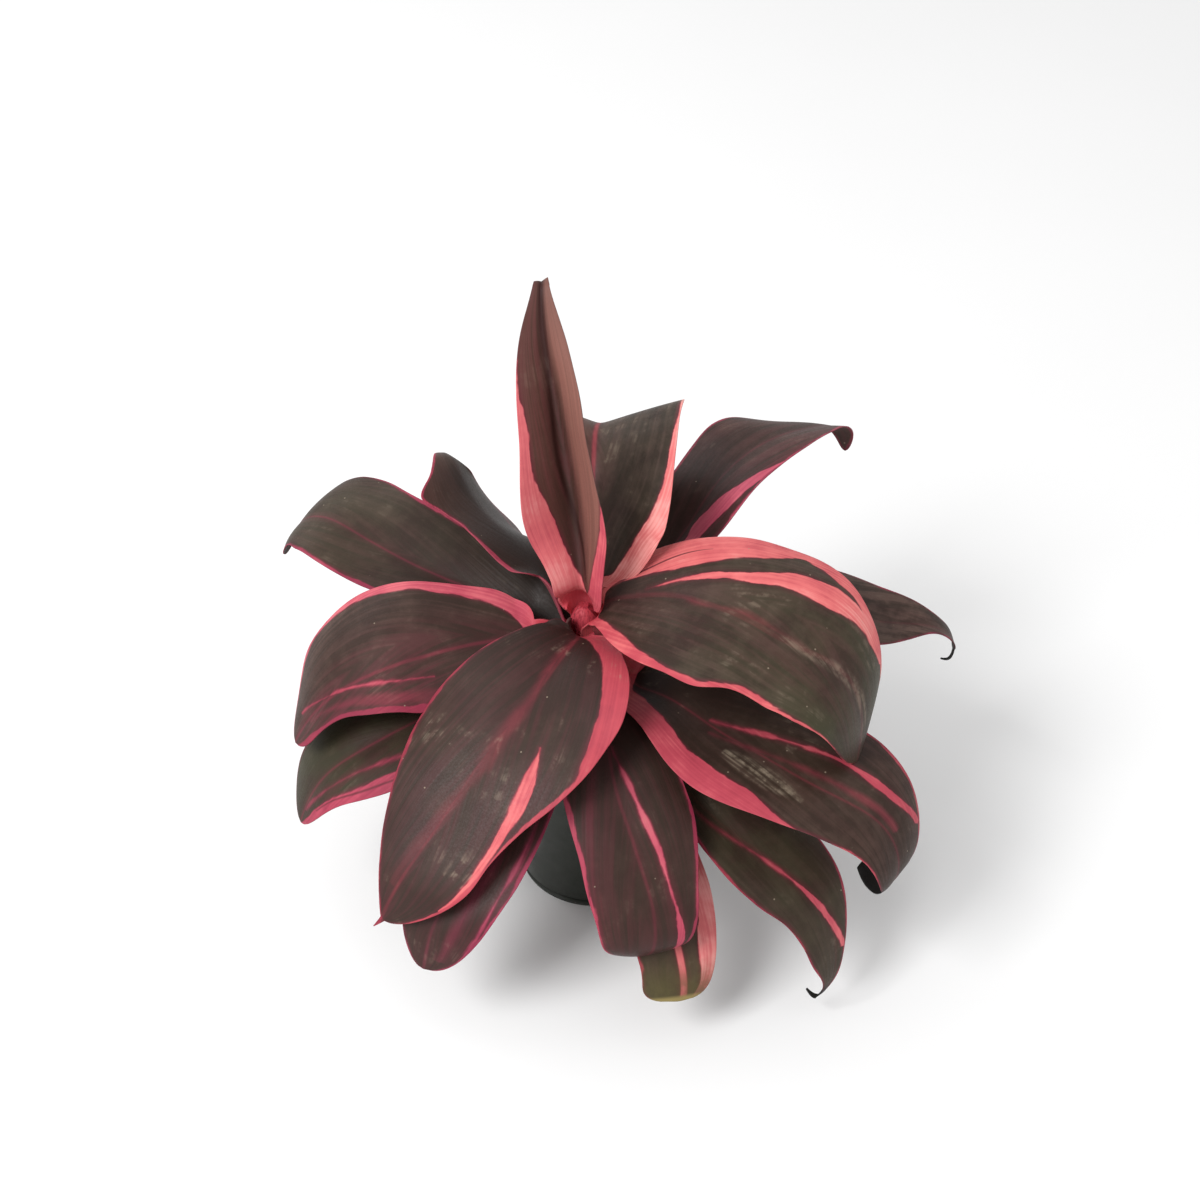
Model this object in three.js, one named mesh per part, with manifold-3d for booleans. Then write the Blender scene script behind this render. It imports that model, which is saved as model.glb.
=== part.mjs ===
// A young ti plant in a round nursery pot.
// One leafy cane stands in the potting mix, and eighteen broad leaves leave it one above the other,
// each on a channelled stalk whose sheath hugs the cane.
// Millimetres, +Z up, the origin on the table under the middle of the pot, the front of the plant at -Y.

import * as THREE from "three";
import { mergeVertices } from "three/addons/utils/BufferGeometryUtils.js";
import Module from "manifold-3d";

const wasm = await Module();
wasm.setup();

// Pot
const potHeight = 112;
const potRimRadius = 65;
const potBaseRadius = 46;
const potWall = 1.6;
const potFloor = 3;
const rimBand = 9;
const rimStandsOut = 2.2;
const footHeight = 3.2;
const footGroove = 1.4;
const baseRecess = 1.2;
const baseDiscRadius = 16;
const drainHoles = 6;
const drainRadius = 4.5;
const potSides = 48;

// Potting mix
const soilTop = 97;
const soilSides = 40;
const soilRings = 7;
const soilLump = 1.6;

// Cane
const caneFoot = new THREE.Vector3(3, 2, 62);
const caneTip = new THREE.Vector3(-7, 2, 200);
const caneFootRadius = 8.5;
const caneNeckRadius = 6.8;
const caneTipRadius = 2;
const caneNeckHeight = 186;
const caneSides = 16;
const scarStep = 4.5;
const scarRelief = 0.35;
const scarTop = 107;

// What touches keeps this gap
const gap = 0.35;

// Leaf, the same for all
const sheathHalf = 4.4;
const stalkHalf = 4.4;
const sheathThick = 1.3;
const stalkThick = 1.7;
const bladeThick = 0.8;
const ribThick = 1.7;
const sheathRise = [5, 12];
const sheathAway = [1.6, 4.8];
const tipTail = 1.2;
const wave = 1.4;
const wavesEach = 2.5;
const stalkRows = 6;
const bladeRows = 14;
const halfColumns = 3;

// One entry for each leaf, from the youngest at the top of the cane down.
// azimuth: the way it points in plan, 0 to the right and 90 to the back. root: the sheath's height on the cane.
// path: the line of the midrib from the sheath to the tip. stalk: the length of the stalk along that line.
// half: the widest half width. bank: how far the right side, looking outwards, is lifted.
// shape: how sharply the blade narrows to its base and to its tip. uneven: how much wider its left base is.
// crease and edge: the blade's slope beside the midrib and at its margin, upwards positive.
// These three are angles at even steps from the blade's base to its tip.
const leaves = [
  {
    name: "leaf_spear",
    azimuth: 100, root: 187, stalk: 22, half: 34, shape: [0.6, 1.3],
    path: [
      [-8, 3, 208], [-10, 7, 240], [-16, 14, 285], [-24, 23, 335],
      [-29, 32, 370], [-29, 42, 385], [-28, 52, 376],
    ],
    bank: [26, 18, 8], crease: [50, 60, 45], edge: [40, 45, 20],
  },
  {
    name: "leaf_back_upright",
    azimuth: 80, root: 173, stalk: 32, half: 50, shape: [0.5, 0.6],
    path: [
      [0, 15, 202], [2, 29, 228], [5, 45, 252], [6, 69, 266],
      [7, 98, 256], [8, 124, 224],
    ],
    bank: [0, 0, 0], crease: [38, 28, 10], edge: [20, 16, -10],
  },
  {
    name: "leaf_right_broad",
    azimuth: -25, root: 171, stalk: 26, half: 54, shape: [0.43, 0.5], uneven: -0.22,
    path: [
      [4, -2, 196], [24, -11, 214], [56, -24, 228], [97, -41, 231],
      [129, -57, 218], [146, -73, 189], [145, -84, 154],
    ],
    bank: [-16, -6, 0], crease: [16, 12, 5], edge: [-4, -20, -20],
  },
  {
    name: "leaf_front_left_broad",
    azimuth: -122, root: 169, stalk: 26, half: 53, shape: [0.42, 0.6], uneven: 0.18,
    path: [
      [-10, -15, 188], [-16, -34, 194], [-36, -64, 185], [-62, -97, 163],
      [-86, -122, 133], [-105, -136, 108], [-118, -140, 88],
    ],
    bank: [4, 4, 4], crease: [18, 8, 5], edge: [0, -18, -15],
  },
  {
    name: "leaf_left_high",
    azimuth: 150, root: 146, stalk: 44, half: 42, shape: [0.6, 0.6],
    path: [
      [-22, 14, 164], [-48, 29, 175], [-94, 54, 185], [-147, 84, 191],
      [-172, 99, 189], [-184, 106, 177], [-187, 106, 160],
    ],
    bank: [14, 12, 8], crease: [25, 15, 5], edge: [10, 0, -10],
  },
  {
    name: "leaf_back_right",
    azimuth: 45, root: 158, stalk: 44, half: 36, shape: [0.5, 0.5], uneven: 0.15,
    path: [
      [12, 15, 175], [31, 36, 190], [51, 58, 206], [74, 84, 228],
      [101, 107, 238], [131, 127, 236], [152, 138, 225], [154, 136, 213],
    ],
    bank: [6, 13, 20], crease: [20, 10, 5], edge: [10, 0, -10],
  },
  {
    name: "leaf_left",
    azimuth: 190, root: 158, stalk: 34, half: 45, shape: [0.42, 0.5],
    path: [
      [-26, -2, 176], [-50, -7, 182], [-86, -14, 187], [-122, -24, 184],
      [-154, -38, 162], [-172, -48, 136],
    ],
    bank: [16, 15, 8], crease: [12, 8, 5], edge: [-5, -18, -15],
  },
  {
    name: "leaf_back_left",
    azimuth: 125, root: 161, stalk: 46, half: 42, shape: [0.5, 0.7],
    path: [
      [-19, 19, 185], [-34, 38, 199], [-56, 60, 209], [-76, 82, 221],
      [-86, 100, 232], [-91, 110, 229],
    ],
    bank: [-20, -36, -36], crease: [4, -8, -8], edge: [0, -20, -20],
  },
  {
    name: "leaf_front",
    azimuth: -80, root: 146, stalk: 30, half: 38, shape: [0.42, 0.42],
    path: [
      [-2, -20, 157], [3, -42, 158], [12, -76, 153], [20, -112, 134],
      [26, -140, 102], [29, -152, 76], [27, -144, 62],
    ],
    bank: [6, 3, 0], crease: [16, 8, 5], edge: [0, -15, -15],
  },
  {
    name: "leaf_front_right",
    azimuth: -38, root: 157, stalk: 34, half: 47, shape: [0.38, 0.5],
    path: [
      [14, -14, 163], [38, -30, 163], [72, -54, 163], [108, -80, 160],
      [142, -104, 148], [164, -120, 124], [163, -127, 100],
    ],
    bank: [0, 0, 0], crease: [20, 8, 5], edge: [5, -14, -15],
  },
  {
    name: "leaf_left_low",
    azimuth: 203, root: 134, stalk: 40, half: 39, shape: [0.5, 0.5],
    path: [
      [-26, -10, 146], [-50, -22, 152], [-86, -36, 153], [-124, -50, 144],
      [-154, -60, 124], [-170, -70, 94],
    ],
    bank: [12, 10, 5], crease: [25, 10, 5], edge: [5, -15, -15],
  },
  {
    name: "leaf_right_low",
    azimuth: 5, root: 136, stalk: 50, half: 34, shape: [0.5, 0.5],
    path: [
      [24, 8, 156], [46, 12, 174], [82, 16, 188], [126, 18, 190],
      [168, 18, 182], [204, 14, 170], [211, 12, 156],
    ],
    bank: [0, 0, 0], crease: [30, 12, 5], edge: [10, -10, -10],
  },
  {
    name: "leaf_front_left_low",
    azimuth: -112, root: 122, stalk: 42, half: 34, shape: [0.5, 0.45],
    path: [
      [-12, -26, 136], [-27, -54, 139], [-50, -90, 131], [-72, -123, 110],
      [-90, -144, 84], [-96, -150, 58],
    ],
    bank: [0, 0, 0], crease: [25, 10, 5], edge: [5, -15, -15],
  },
  {
    name: "leaf_front_right_low",
    azimuth: -50, root: 125, stalk: 42, half: 33, shape: [0.5, 0.85],
    path: [
      [18, -22, 136], [40, -48, 132], [72, -79, 119], [103, -103, 100],
      [128, -121, 74], [136, -131, 44], [131, -134, 22],
    ],
    bank: [0, 0, 0], crease: [25, 10, 5], edge: [5, -15, -15],
  },
  {
    name: "leaf_back_right_low",
    azimuth: 35, root: 120, stalk: 42, half: 34, shape: [0.5, 0.5],
    path: [
      [22, 16, 132], [44, 32, 136], [72, 52, 128], [98, 72, 108],
      [116, 86, 80], [124, 92, 54],
    ],
    bank: [0, 0, 0], crease: [25, 10, 5], edge: [5, -15, -15],
  },
  {
    name: "leaf_back_left_low",
    azimuth: 148, root: 121, stalk: 42, half: 34, shape: [0.5, 0.5],
    path: [
      [-22, 20, 134], [-44, 36, 136], [-72, 56, 126], [-98, 74, 104],
      [-114, 86, 76], [-120, 90, 50],
    ],
    bank: [0, 0, 0], crease: [25, 10, 5], edge: [5, -15, -15],
  },
  {
    name: "leaf_front_low",
    azimuth: -73, root: 112, stalk: 46, half: 30, shape: [0.5, 0.35],
    path: [
      [8, -26, 120], [18, -56, 117], [29, -88, 102], [39, -118, 79],
      [45, -142, 58], [47, -156, 38],
    ],
    bank: [0, 0, 0], crease: [25, 10, 5], edge: [5, -15, -15],
  },
  {
    name: "leaf_back_low",
    azimuth: 92, root: 110, stalk: 42, half: 34, shape: [0.5, 0.5],
    path: [
      [-4, 30, 124], [-4, 56, 128], [-4, 90, 118], [-2, 116, 94],
      [0, 132, 64], [2, 138, 40],
    ],
    bank: [0, 0, 0], crease: [25, 10, 5], edge: [5, -15, -15],
  },
];

const radians = THREE.MathUtils.degToRad;
const mix = THREE.MathUtils.lerp;
const ease = THREE.MathUtils.smoothstep;

// A closed manifold-3d solid from a three.js geometry.
function solidOf(geometry) {
  const bare = new THREE.BufferGeometry();
  bare.setAttribute("position", geometry.getAttribute("position"));
  bare.setIndex(geometry.index);
  const merged = mergeVertices(bare, 1e-4);
  return new wasm.Manifold(
    new wasm.Mesh({
      numProp: 3,
      vertProperties: merged.attributes.position.array,
      triVerts: new Uint32Array(merged.index.array),
    }),
  );
}

// A three.js geometry from a manifold-3d solid.
function geometryOf(solid) {
  const { numProp, vertProperties, triVerts } = solid.getMesh();
  const positions = [];
  for (let i = 0; i < vertProperties.length; i += numProp) {
    positions.push(vertProperties[i], vertProperties[i + 1], vertProperties[i + 2]);
  }
  const geometry = new THREE.BufferGeometry();
  geometry.setAttribute("position", new THREE.Float32BufferAttribute(positions, 3));
  geometry.setIndex([...triVerts]);
  geometry.computeVertexNormals();
  return geometry;
}

// A body turned about +Z from its [radius, height] profile, which runs up the outside and down the inside.
function turned(profile, sides) {
  const points = profile.map(([radius, height]) => new THREE.Vector2(radius, height));
  return new THREE.LatheGeometry(points, sides).rotateX(Math.PI / 2);
}

// A value at share t of a list of values at even steps, eased between them.
function along(values, t) {
  const place = THREE.MathUtils.clamp(t, 0, 1) * (values.length - 1);
  const i = Math.min(Math.floor(place), values.length - 2);
  return mix(values[i], values[i + 1], ease(place - i, 0, 1));
}

// The cane's centre and radius at a height.
function caneAt(height) {
  const share = (height - caneFoot.z) / (caneTip.z - caneFoot.z);
  const centre = caneFoot.clone().lerp(caneTip, share);
  const neck = (height - caneFoot.z) / (caneNeckHeight - caneFoot.z);
  const tip = ease(height, caneNeckHeight, caneTip.z);
  const radius = mix(mix(caneFootRadius, caneNeckRadius, Math.min(neck, 1)), caneTipRadius, tip);
  return { centre, radius };
}

// A smooth line through points, bent as a thin batten is: a natural cubic spline over the chord length.
function batten(points) {
  const knots = [0];
  for (let i = 1; i < points.length; i++) {
    knots.push(knots[i - 1] + points[i].distanceTo(points[i - 1]));
  }
  const last = points.length - 1;
  const bends = points.map(() => new THREE.Vector3());
  const carry = points.map(() => 0);
  for (let i = 1; i < last; i++) {
    const before = knots[i] - knots[i - 1];
    const after = knots[i + 1] - knots[i];
    const pull = points[i + 1].clone().sub(points[i]).divideScalar(after);
    pull.sub(points[i].clone().sub(points[i - 1]).divideScalar(before)).multiplyScalar(6);
    const weight = 2 * (before + after) - before * carry[i - 1];
    carry[i] = after / weight;
    bends[i].copy(pull).addScaledVector(bends[i - 1], -before).divideScalar(weight);
  }
  for (let i = last - 1; i > 0; i--) {
    bends[i].addScaledVector(bends[i + 1], -carry[i]);
  }
  return (place) => {
    let i = 0;
    while (i < last - 1 && place > knots[i + 1]) i++;
    const span = knots[i + 1] - knots[i];
    const b = (place - knots[i]) / span;
    const a = 1 - b;
    const bow = (span * span) / 6;
    return points[i].clone().multiplyScalar(a).addScaledVector(points[i + 1], b)
      .addScaledVector(bends[i], (a * a * a - a) * bow)
      .addScaledVector(bends[i + 1], (b * b * b - b) * bow);
  };
}

// A batten's points by true length: at(length) gives the point and the direction there.
function measured(points) {
  const steps = 400;
  const line = batten(points);
  let reach = 0;
  for (let i = 1; i < points.length; i++) reach += points[i].distanceTo(points[i - 1]);
  const samples = [line(0)];
  const lengths = [0];
  for (let i = 1; i <= steps; i++) {
    samples.push(line((reach * i) / steps));
    lengths.push(lengths[i - 1] + samples[i].distanceTo(samples[i - 1]));
  }
  const at = (length) => {
    let i = 0;
    while (i < steps - 1 && length > lengths[i + 1]) i++;
    const share = (length - lengths[i]) / (lengths[i + 1] - lengths[i]);
    const point = samples[i].clone().lerp(samples[i + 1], share);
    const from = samples[Math.max(i - 1, 0)];
    const to = samples[Math.min(i + 2, steps)];
    return { point, direction: to.clone().sub(from).normalize() };
  };
  return { total: lengths[steps], at };
}

// The blade's half width as a share of its widest, from the base at 0 to the tip at 1.
function outline(t, [toBase, toTip]) {
  const widest = toBase / (toBase + toTip);
  return Math.pow(t / widest, toBase) * Math.pow((1 - t) / (1 - widest), toTip);
}

// The midrib's line, with the sheath's start on the cane put before the leaf's own points.
function midribOf(leaf) {
  const outward = new THREE.Vector3(Math.cos(radians(leaf.azimuth)), Math.sin(radians(leaf.azimuth)), 0);
  const { centre, radius } = caneAt(leaf.root);
  const start = centre.clone().addScaledVector(outward, radius + gap);
  const lift = (rise, away) => {
    const on = caneAt(leaf.root + rise);
    return on.centre.clone().addScaledVector(outward, on.radius + gap + away);
  };
  const points = [start, lift(sheathRise[0], sheathAway[0]), lift(sheathRise[1], sheathAway[1])];
  points.push(...leaf.path.map((p) => new THREE.Vector3(...p)));
  return { outward, line: measured(points) };
}

// The leaf's section at a length along the midrib: its frame, half width, slopes and thickness.
function sectionOf(leaf, outward, line, length) {
  const { point, direction } = line.at(length);
  const t = Math.max((length - leaf.stalk) / (line.total - leaf.stalk), 0);
  const level = new THREE.Vector3(outward.y, -outward.x, 0);
  const side = level.addScaledVector(direction, -level.dot(direction)).normalize();
  const up = side.clone().cross(direction);
  const bank = radians(along(leaf.bank, t)) * ease(length, 0.4 * leaf.stalk, leaf.stalk);
  side.applyAxisAngle(direction, -bank);
  up.applyAxisAngle(direction, -bank);

  const onStalk = ease(length, 0.15 * leaf.stalk, 0.7 * leaf.stalk);
  const onBlade = ease(length, 0.75 * leaf.stalk, 1.3 * leaf.stalk);
  const hug = (sheathHalf / caneAt(leaf.root).radius) * (180 / Math.PI);
  const stalkWidth = mix(sheathHalf, stalkHalf, onStalk);
  const tail = tipTail * Math.sqrt(Math.max(1 - t, 0)) + 0.25;
  const bladeWidth = leaf.half * outline(t, leaf.shape);
  const thin = mix(stalkWidth, tail, ease(t, 0, 0.5));
  return {
    point, side, up, t,
    half: Math.hypot(bladeWidth, thin),
    uneven: (leaf.uneven ?? 0) * (1 - t) * onBlade,
    wave: wave * Math.sin(wavesEach * 2 * Math.PI * t + leaf.azimuth) * Math.sin(Math.PI * t) * onBlade,
    crease: radians(mix(mix(0, 12, onStalk), along(leaf.crease, t), onBlade)),
    edge: radians(mix(mix(hug, 82, onStalk), along(leaf.edge, t), onBlade)),
    ribThick: mix(mix(sheathThick, stalkThick + 0.5, onStalk), mix(ribThick, bladeThick, t), onBlade),
    edgeThick: mix(mix(sheathThick, stalkThick, onStalk), bladeThick, onBlade),
  };
}

// A point of the upper face, q from 0 at the midrib to 1 at the margin, on the right side (1) or the left (-1).
function facePoint(section, hand, q) {
  const { point, side, up, crease, edge, uneven, wave } = section;
  const half = section.half * (1 - hand * uneven);
  const turn = edge - crease;
  const flat = Math.abs(turn) < 1e-3;
  const slope = crease + turn * q;
  const out = flat ? q * Math.cos(crease) : (Math.sin(slope) - Math.sin(crease)) / turn;
  const rise = flat ? q * Math.sin(crease) : (Math.cos(crease) - Math.cos(slope)) / turn;
  const ripple = hand * wave * q * q;
  return point.clone().addScaledVector(side, hand * half * out).addScaledVector(up, half * rise + ripple);
}

// A closed thin body between two faces of rows by columns points, with the same diagonals on both.
function bodyBetween(upper, lower) {
  const rows = upper.length;
  const columns = upper[0].length;
  const positions = [...upper.flat(), ...lower.flat()].flatMap((p) => [p.x, p.y, p.z]);
  const top = (r, c) => r * columns + c;
  const low = (r, c) => rows * columns + top(r, c);
  const faces = [];
  const quad = (a, b, c, d) => faces.push(a, b, c, a, c, d);
  for (let r = 0; r < rows - 1; r++) {
    for (let c = 0; c < columns - 1; c++) {
      faces.push(top(r, c), top(r, c + 1), top(r + 1, c + 1), top(r, c), top(r + 1, c + 1), top(r + 1, c));
      faces.push(low(r, c), low(r + 1, c + 1), low(r, c + 1), low(r, c), low(r + 1, c), low(r + 1, c + 1));
    }
    quad(top(r, 0), top(r + 1, 0), low(r + 1, 0), low(r, 0));
    quad(top(r, columns - 1), low(r, columns - 1), low(r + 1, columns - 1), top(r + 1, columns - 1));
  }
  for (let c = 0; c < columns - 1; c++) {
    quad(top(0, c), low(0, c), low(0, c + 1), top(0, c + 1));
    quad(top(rows - 1, c), top(rows - 1, c + 1), low(rows - 1, c + 1), low(rows - 1, c));
  }
  const geometry = new THREE.BufferGeometry();
  geometry.setAttribute("position", new THREE.Float32BufferAttribute(positions, 3));
  geometry.setIndex(faces);
  geometry.computeVertexNormals();
  return geometry;
}

// One leaf: sheath, channelled stalk, midrib and blade in one closed body.
function leafGeometry(leaf) {
  const { outward, line } = midribOf(leaf);
  const lengths = [];
  for (let i = 0; i < stalkRows; i++) lengths.push((leaf.stalk * i) / stalkRows);
  for (let i = 0; i <= bladeRows; i++) {
    const t = 1 - Math.pow(1 - i / bladeRows, 1.25);
    lengths.push(mix(leaf.stalk, line.total - 0.01, t));
  }
  const upper = [];
  const lower = [];
  for (const length of lengths) {
    const section = sectionOf(leaf, outward, line, length);
    const row = [];
    const under = [];
    for (let c = -halfColumns; c <= halfColumns; c++) {
      const hand = Math.sign(c) || 1;
      const q = Math.abs(c) / halfColumns;
      const face = facePoint(section, hand, q);
      const slope = mix(section.crease, section.edge, q) * (c === 0 ? 0 : 1);
      const normal = section.up.clone().multiplyScalar(Math.cos(slope));
      normal.addScaledVector(section.side, -hand * Math.sin(slope));
      const thick = mix(section.ribThick, section.edgeThick, Math.min(2 * q, 1));
      row.push(face);
      under.push(face.clone().addScaledVector(normal, -thick));
    }
    upper.push(row);
    lower.push(under);
  }
  return bodyBetween(upper, lower);
}

// The pot: a tapered thin wall with a rim band, a grooved foot, a recessed base and drain holes.
function potGeometry() {
  const wallAt = (height) => mix(potBaseRadius, potRimRadius - rimStandsOut, height / (potHeight - rimBand));
  const top = potHeight - rimBand;
  const profile = [
    [0, 0],
    [baseDiscRadius, 0],
    [baseDiscRadius + baseRecess, baseRecess],
    [potBaseRadius - 5, baseRecess],
    [potBaseRadius - 4, 0],
    [potBaseRadius, 0],
    [wallAt(footHeight) + 0.2, footHeight],
    [wallAt(footHeight) - footGroove, footHeight + 0.8],
    [wallAt(footHeight) - footGroove, footHeight + 1.8],
    [wallAt(footHeight + 3), footHeight + 3],
    [wallAt(top), top],
    [potRimRadius, top + 0.6],
    [potRimRadius, potHeight - 0.8],
    [potRimRadius - 0.8, potHeight],
    [potRimRadius - potWall + 0.4, potHeight],
    [potRimRadius - potWall - 0.2, potHeight - 1],
    [wallAt(top) - potWall, top - 1.5],
    [wallAt(footHeight + 6) - potWall, footHeight + 6],
    [potBaseRadius - potWall - footGroove - 1, potFloor + baseRecess],
    [0, potFloor + baseRecess],
  ];
  let pot = solidOf(turned(profile, potSides));
  const ringRadius = (baseDiscRadius + potBaseRadius) / 2;
  for (let i = 0; i < drainHoles; i++) {
    const angle = ((i + 0.5) * 2 * Math.PI) / drainHoles;
    const drill = new THREE.CylinderGeometry(drainRadius, drainRadius, 4 * potFloor, 12).rotateX(Math.PI / 2);
    drill.translate(ringRadius * Math.cos(angle), ringRadius * Math.sin(angle), potFloor);
    pot = pot.subtract(solidOf(drill));
  }
  return geometryOf(pot);
}

// The potting mix: it fills the pot to below the rim, lumpy on top, with a plain hole for the cane.
function soilGeometry() {
  const wallAt = (height) => mix(potBaseRadius, potRimRadius - rimStandsOut, height / (potHeight - rimBand));
  const inner = (height) => wallAt(height) - potWall - gap;
  const bottom = potFloor + baseRecess + gap;
  const profile = [
    [0, bottom],
    [potBaseRadius - potWall - footGroove - 1 - gap, bottom],
    [inner(footHeight + 6), footHeight + 6 + gap],
    [inner(soilTop), soilTop],
  ];
  for (let ring = soilRings - 1; ring >= 0; ring--) {
    profile.push([(inner(soilTop) * ring) / soilRings, soilTop]);
  }
  const body = turned(profile, soilSides);
  const place = body.getAttribute("position");
  for (let i = 0; i < place.count; i++) {
    const [x, y, z] = [place.getX(i), place.getY(i), place.getZ(i)];
    const inside = 1 - Math.hypot(x, y) / inner(soilTop);
    if (z < soilTop - 0.01 || inside < 0.01) continue;
    const lump = Math.sin(0.31 * x + 1.3) * Math.cos(0.27 * y - 0.6) + 0.6 * Math.sin(0.52 * y + 0.4 * x);
    place.setZ(i, z + soilLump * lump * Math.min(3 * inside, 1));
  }
  const hole = caneGeometry(gap);
  return geometryOf(solidOf(body).subtract(solidOf(hole)));
}

// The cane, with the rings that fallen leaves left on it. A swollen one cuts its hole in the potting mix.
function caneGeometry(swell) {
  const heights = [caneFoot.z - swell];
  for (let z = soilTop - 8; z < scarTop; z += scarStep) heights.push(z, z + 0.9, z + 1.8);
  for (let z = scarTop + scarStep; z < caneNeckHeight; z += 12) heights.push(z);
  for (let z = caneNeckHeight; z < caneTip.z; z += 3.5) heights.push(z);
  heights.push(caneTip.z + swell);
  const profile = [[0, heights[0]]];
  heights.forEach((z, i) => {
    const scar = z < scarTop + scarStep && i > 0 && (i - 1) % 3 === 1 ? scarRelief : 0;
    profile.push([caneAt(z).radius + swell + scar, z]);
  });
  profile.push([0, heights[heights.length - 1]]);
  const body = turned(profile, caneSides);
  const place = body.getAttribute("position");
  for (let i = 0; i < place.count; i++) {
    const { centre } = caneAt(place.getZ(i));
    place.setXY(i, place.getX(i) + centre.x, place.getY(i) + centre.y);
  }
  return body;
}

const potPlastic = new THREE.MeshStandardMaterial({ color: "#1f2621", roughness: 0.55, metalness: 0 });
const pottingMix = new THREE.MeshStandardMaterial({ color: "#2b2019", roughness: 0.95, metalness: 0 });
const caneBark = new THREE.MeshStandardMaterial({ color: "#5c4434", roughness: 0.8, metalness: 0 });
const leafBlade = new THREE.MeshStandardMaterial({ color: "#4a302e", roughness: 0.42, metalness: 0 });

const plant = new THREE.Group();

function add(name, geometry, material) {
  const mesh = new THREE.Mesh(geometry, material);
  mesh.name = name;
  plant.add(mesh);
}

add("pot", potGeometry(), potPlastic);
add("soil", soilGeometry(), pottingMix);
add("cane", caneGeometry(0), caneBark);
for (const leaf of leaves) add(leaf.name, leafGeometry(leaf), leafBlade);

export default plant;
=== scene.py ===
"""A potted ti plant with dark bronze leaves that have pink margins and stripes.

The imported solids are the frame. Each one is replaced by a finer piece of the same form: the leaves
with their veins, margins and stripes, the cane with its sheaths, the potting mix and the pot."""

import math

import bmesh
import bpy
import numpy as np
from mathutils import Matrix, Vector


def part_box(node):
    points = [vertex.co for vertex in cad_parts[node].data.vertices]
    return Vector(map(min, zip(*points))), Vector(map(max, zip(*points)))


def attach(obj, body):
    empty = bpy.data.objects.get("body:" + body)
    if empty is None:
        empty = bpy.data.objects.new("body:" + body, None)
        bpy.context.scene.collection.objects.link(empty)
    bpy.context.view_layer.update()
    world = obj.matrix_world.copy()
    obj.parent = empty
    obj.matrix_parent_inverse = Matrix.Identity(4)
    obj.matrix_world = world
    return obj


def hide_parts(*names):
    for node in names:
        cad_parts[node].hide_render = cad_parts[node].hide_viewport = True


bl_info = {
    "name": "Potted Ti Plant",
    "version": (1, 0, 0),
    "blender": (4, 5, 0),
    "location": "View3D > Sidebar > Ti Plant",
    "description": "Dresses the frame of a potted ti plant with leaves, cane, potting mix and pot",
    "category": "Object",
}

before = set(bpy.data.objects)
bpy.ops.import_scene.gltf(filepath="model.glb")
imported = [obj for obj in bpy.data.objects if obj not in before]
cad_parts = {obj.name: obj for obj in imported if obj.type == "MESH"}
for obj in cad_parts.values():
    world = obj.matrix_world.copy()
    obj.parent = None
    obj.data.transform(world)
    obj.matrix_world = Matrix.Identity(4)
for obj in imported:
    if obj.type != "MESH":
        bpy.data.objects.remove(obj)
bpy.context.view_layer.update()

MM = 0.001
POT_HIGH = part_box("pot")[1]
SOIL_LOW, SOIL_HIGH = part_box("soil")
CANE_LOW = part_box("cane")[0]

# The cane, in millimetres. A sheath stands this gap from it, and an older one stands out further, by a
# share of its drop below the youngest.
CANE_FOOT = np.array((3.0, 2.0, 62.0))
CANE_TIP = np.array((-7.0, 2.0, 200.0))
CANE_FOOT_RADIUS = 8.5
CANE_NECK_RADIUS = 6.8
CANE_TIP_RADIUS = 2.0
CANE_NECK_HEIGHT = 186.0
CANE_INSET = 0.05
GAP = 0.35
OUTWARD_SHARE = 0.03
YOUNGEST_ROOT = 187

# Ring scars on the bark, and the edges of the sheaths wrapped round the cane above it, in millimetres
SCAR_HIGH = 0.3
SCAR_FIRST = 1.5
SCAR_STEP = 4.5
SCAR_SOFT = 0.5
SCARS_END = (108, 116)
WRAP_EDGES = 3
WRAP_RISE = 60

# Pairs of a height and how far a wrapped sheath's edge stands out, and pairs of a height and the least
# radius of the closed bud at the crown, in millimetres
WRAPS = ((0, 0), (112, 0), (128, 0.4), (150, 0.5), (172, 0.6), (188, 0.7), (203, 0.5))
CROWN = ((60, 0), (158, 0), (166, 6.9), (175, 7.5), (184, 8.2), (189, 7.6), (193.5, 5.4), (197, 2.0))
CROWN_TOP = CROWN[-1][0]

# The potting mix and the pot, in millimetres
SOIL_TOP = 97
SOIL_FOOT = 42
HOLE_GAP = 0.3
POT_FOOT = 46
RIM_BAND = 9
DRAIN_HOLES = 6
DRAIN_CIRCLE = 31
DRAIN_RADIUS = 4.5

# Leaf, in millimetres and degrees, the same for all
SHEATH_HALF = 9.5
STALK_HALF = 5.4
SHEATH_THICK = 1.3
STALK_THICK = 1.7
STALK_RIB_THICK = 2.2
STALK_CREASE = 12
STALK_EDGE = 82
BLADE_THICK = 0.8
RIB_THICK = 1.7
RIB_REACH = 3.2
SHEATH_RISE = (5, 12)
SHEATH_AWAY = (1.6, 4.8)
TIP_TAIL = 1.2
TIP_LEAST = 0.25
TIP_HALF = 0.3
LIP = 0.4
WAVE = 1.4
WAVES_EACH = 2.5
UNTRIMMED = [1, 1]

# Fine veins: how much they crowd towards the margin, and how far they slant to the tip
VEIN_FAN = 1.6
VEIN_SLANT = 1.3

# Samples of a midrib's line, and rows along a stalk and a hook
SAMPLES = 401
STALK_ROWS = 22
HOOK_ROWS = 14

# The stage: the point that the camera and lamps look at, in metres, and the camera's sensor and lens
MIDDLE = Vector((0.0025, 0, 0.202))
SENSOR_WIDTH = 36
LENS = 65.625
FLOOR_HALF = 6
FLOOR_DROP = 0.2 * MM

# A low leaf that is bent in the usual way
LOW = dict(wing=0, bank=[0, 0, 0], crease=[25, 10, 5], edge=[5, -15, -15])

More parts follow.
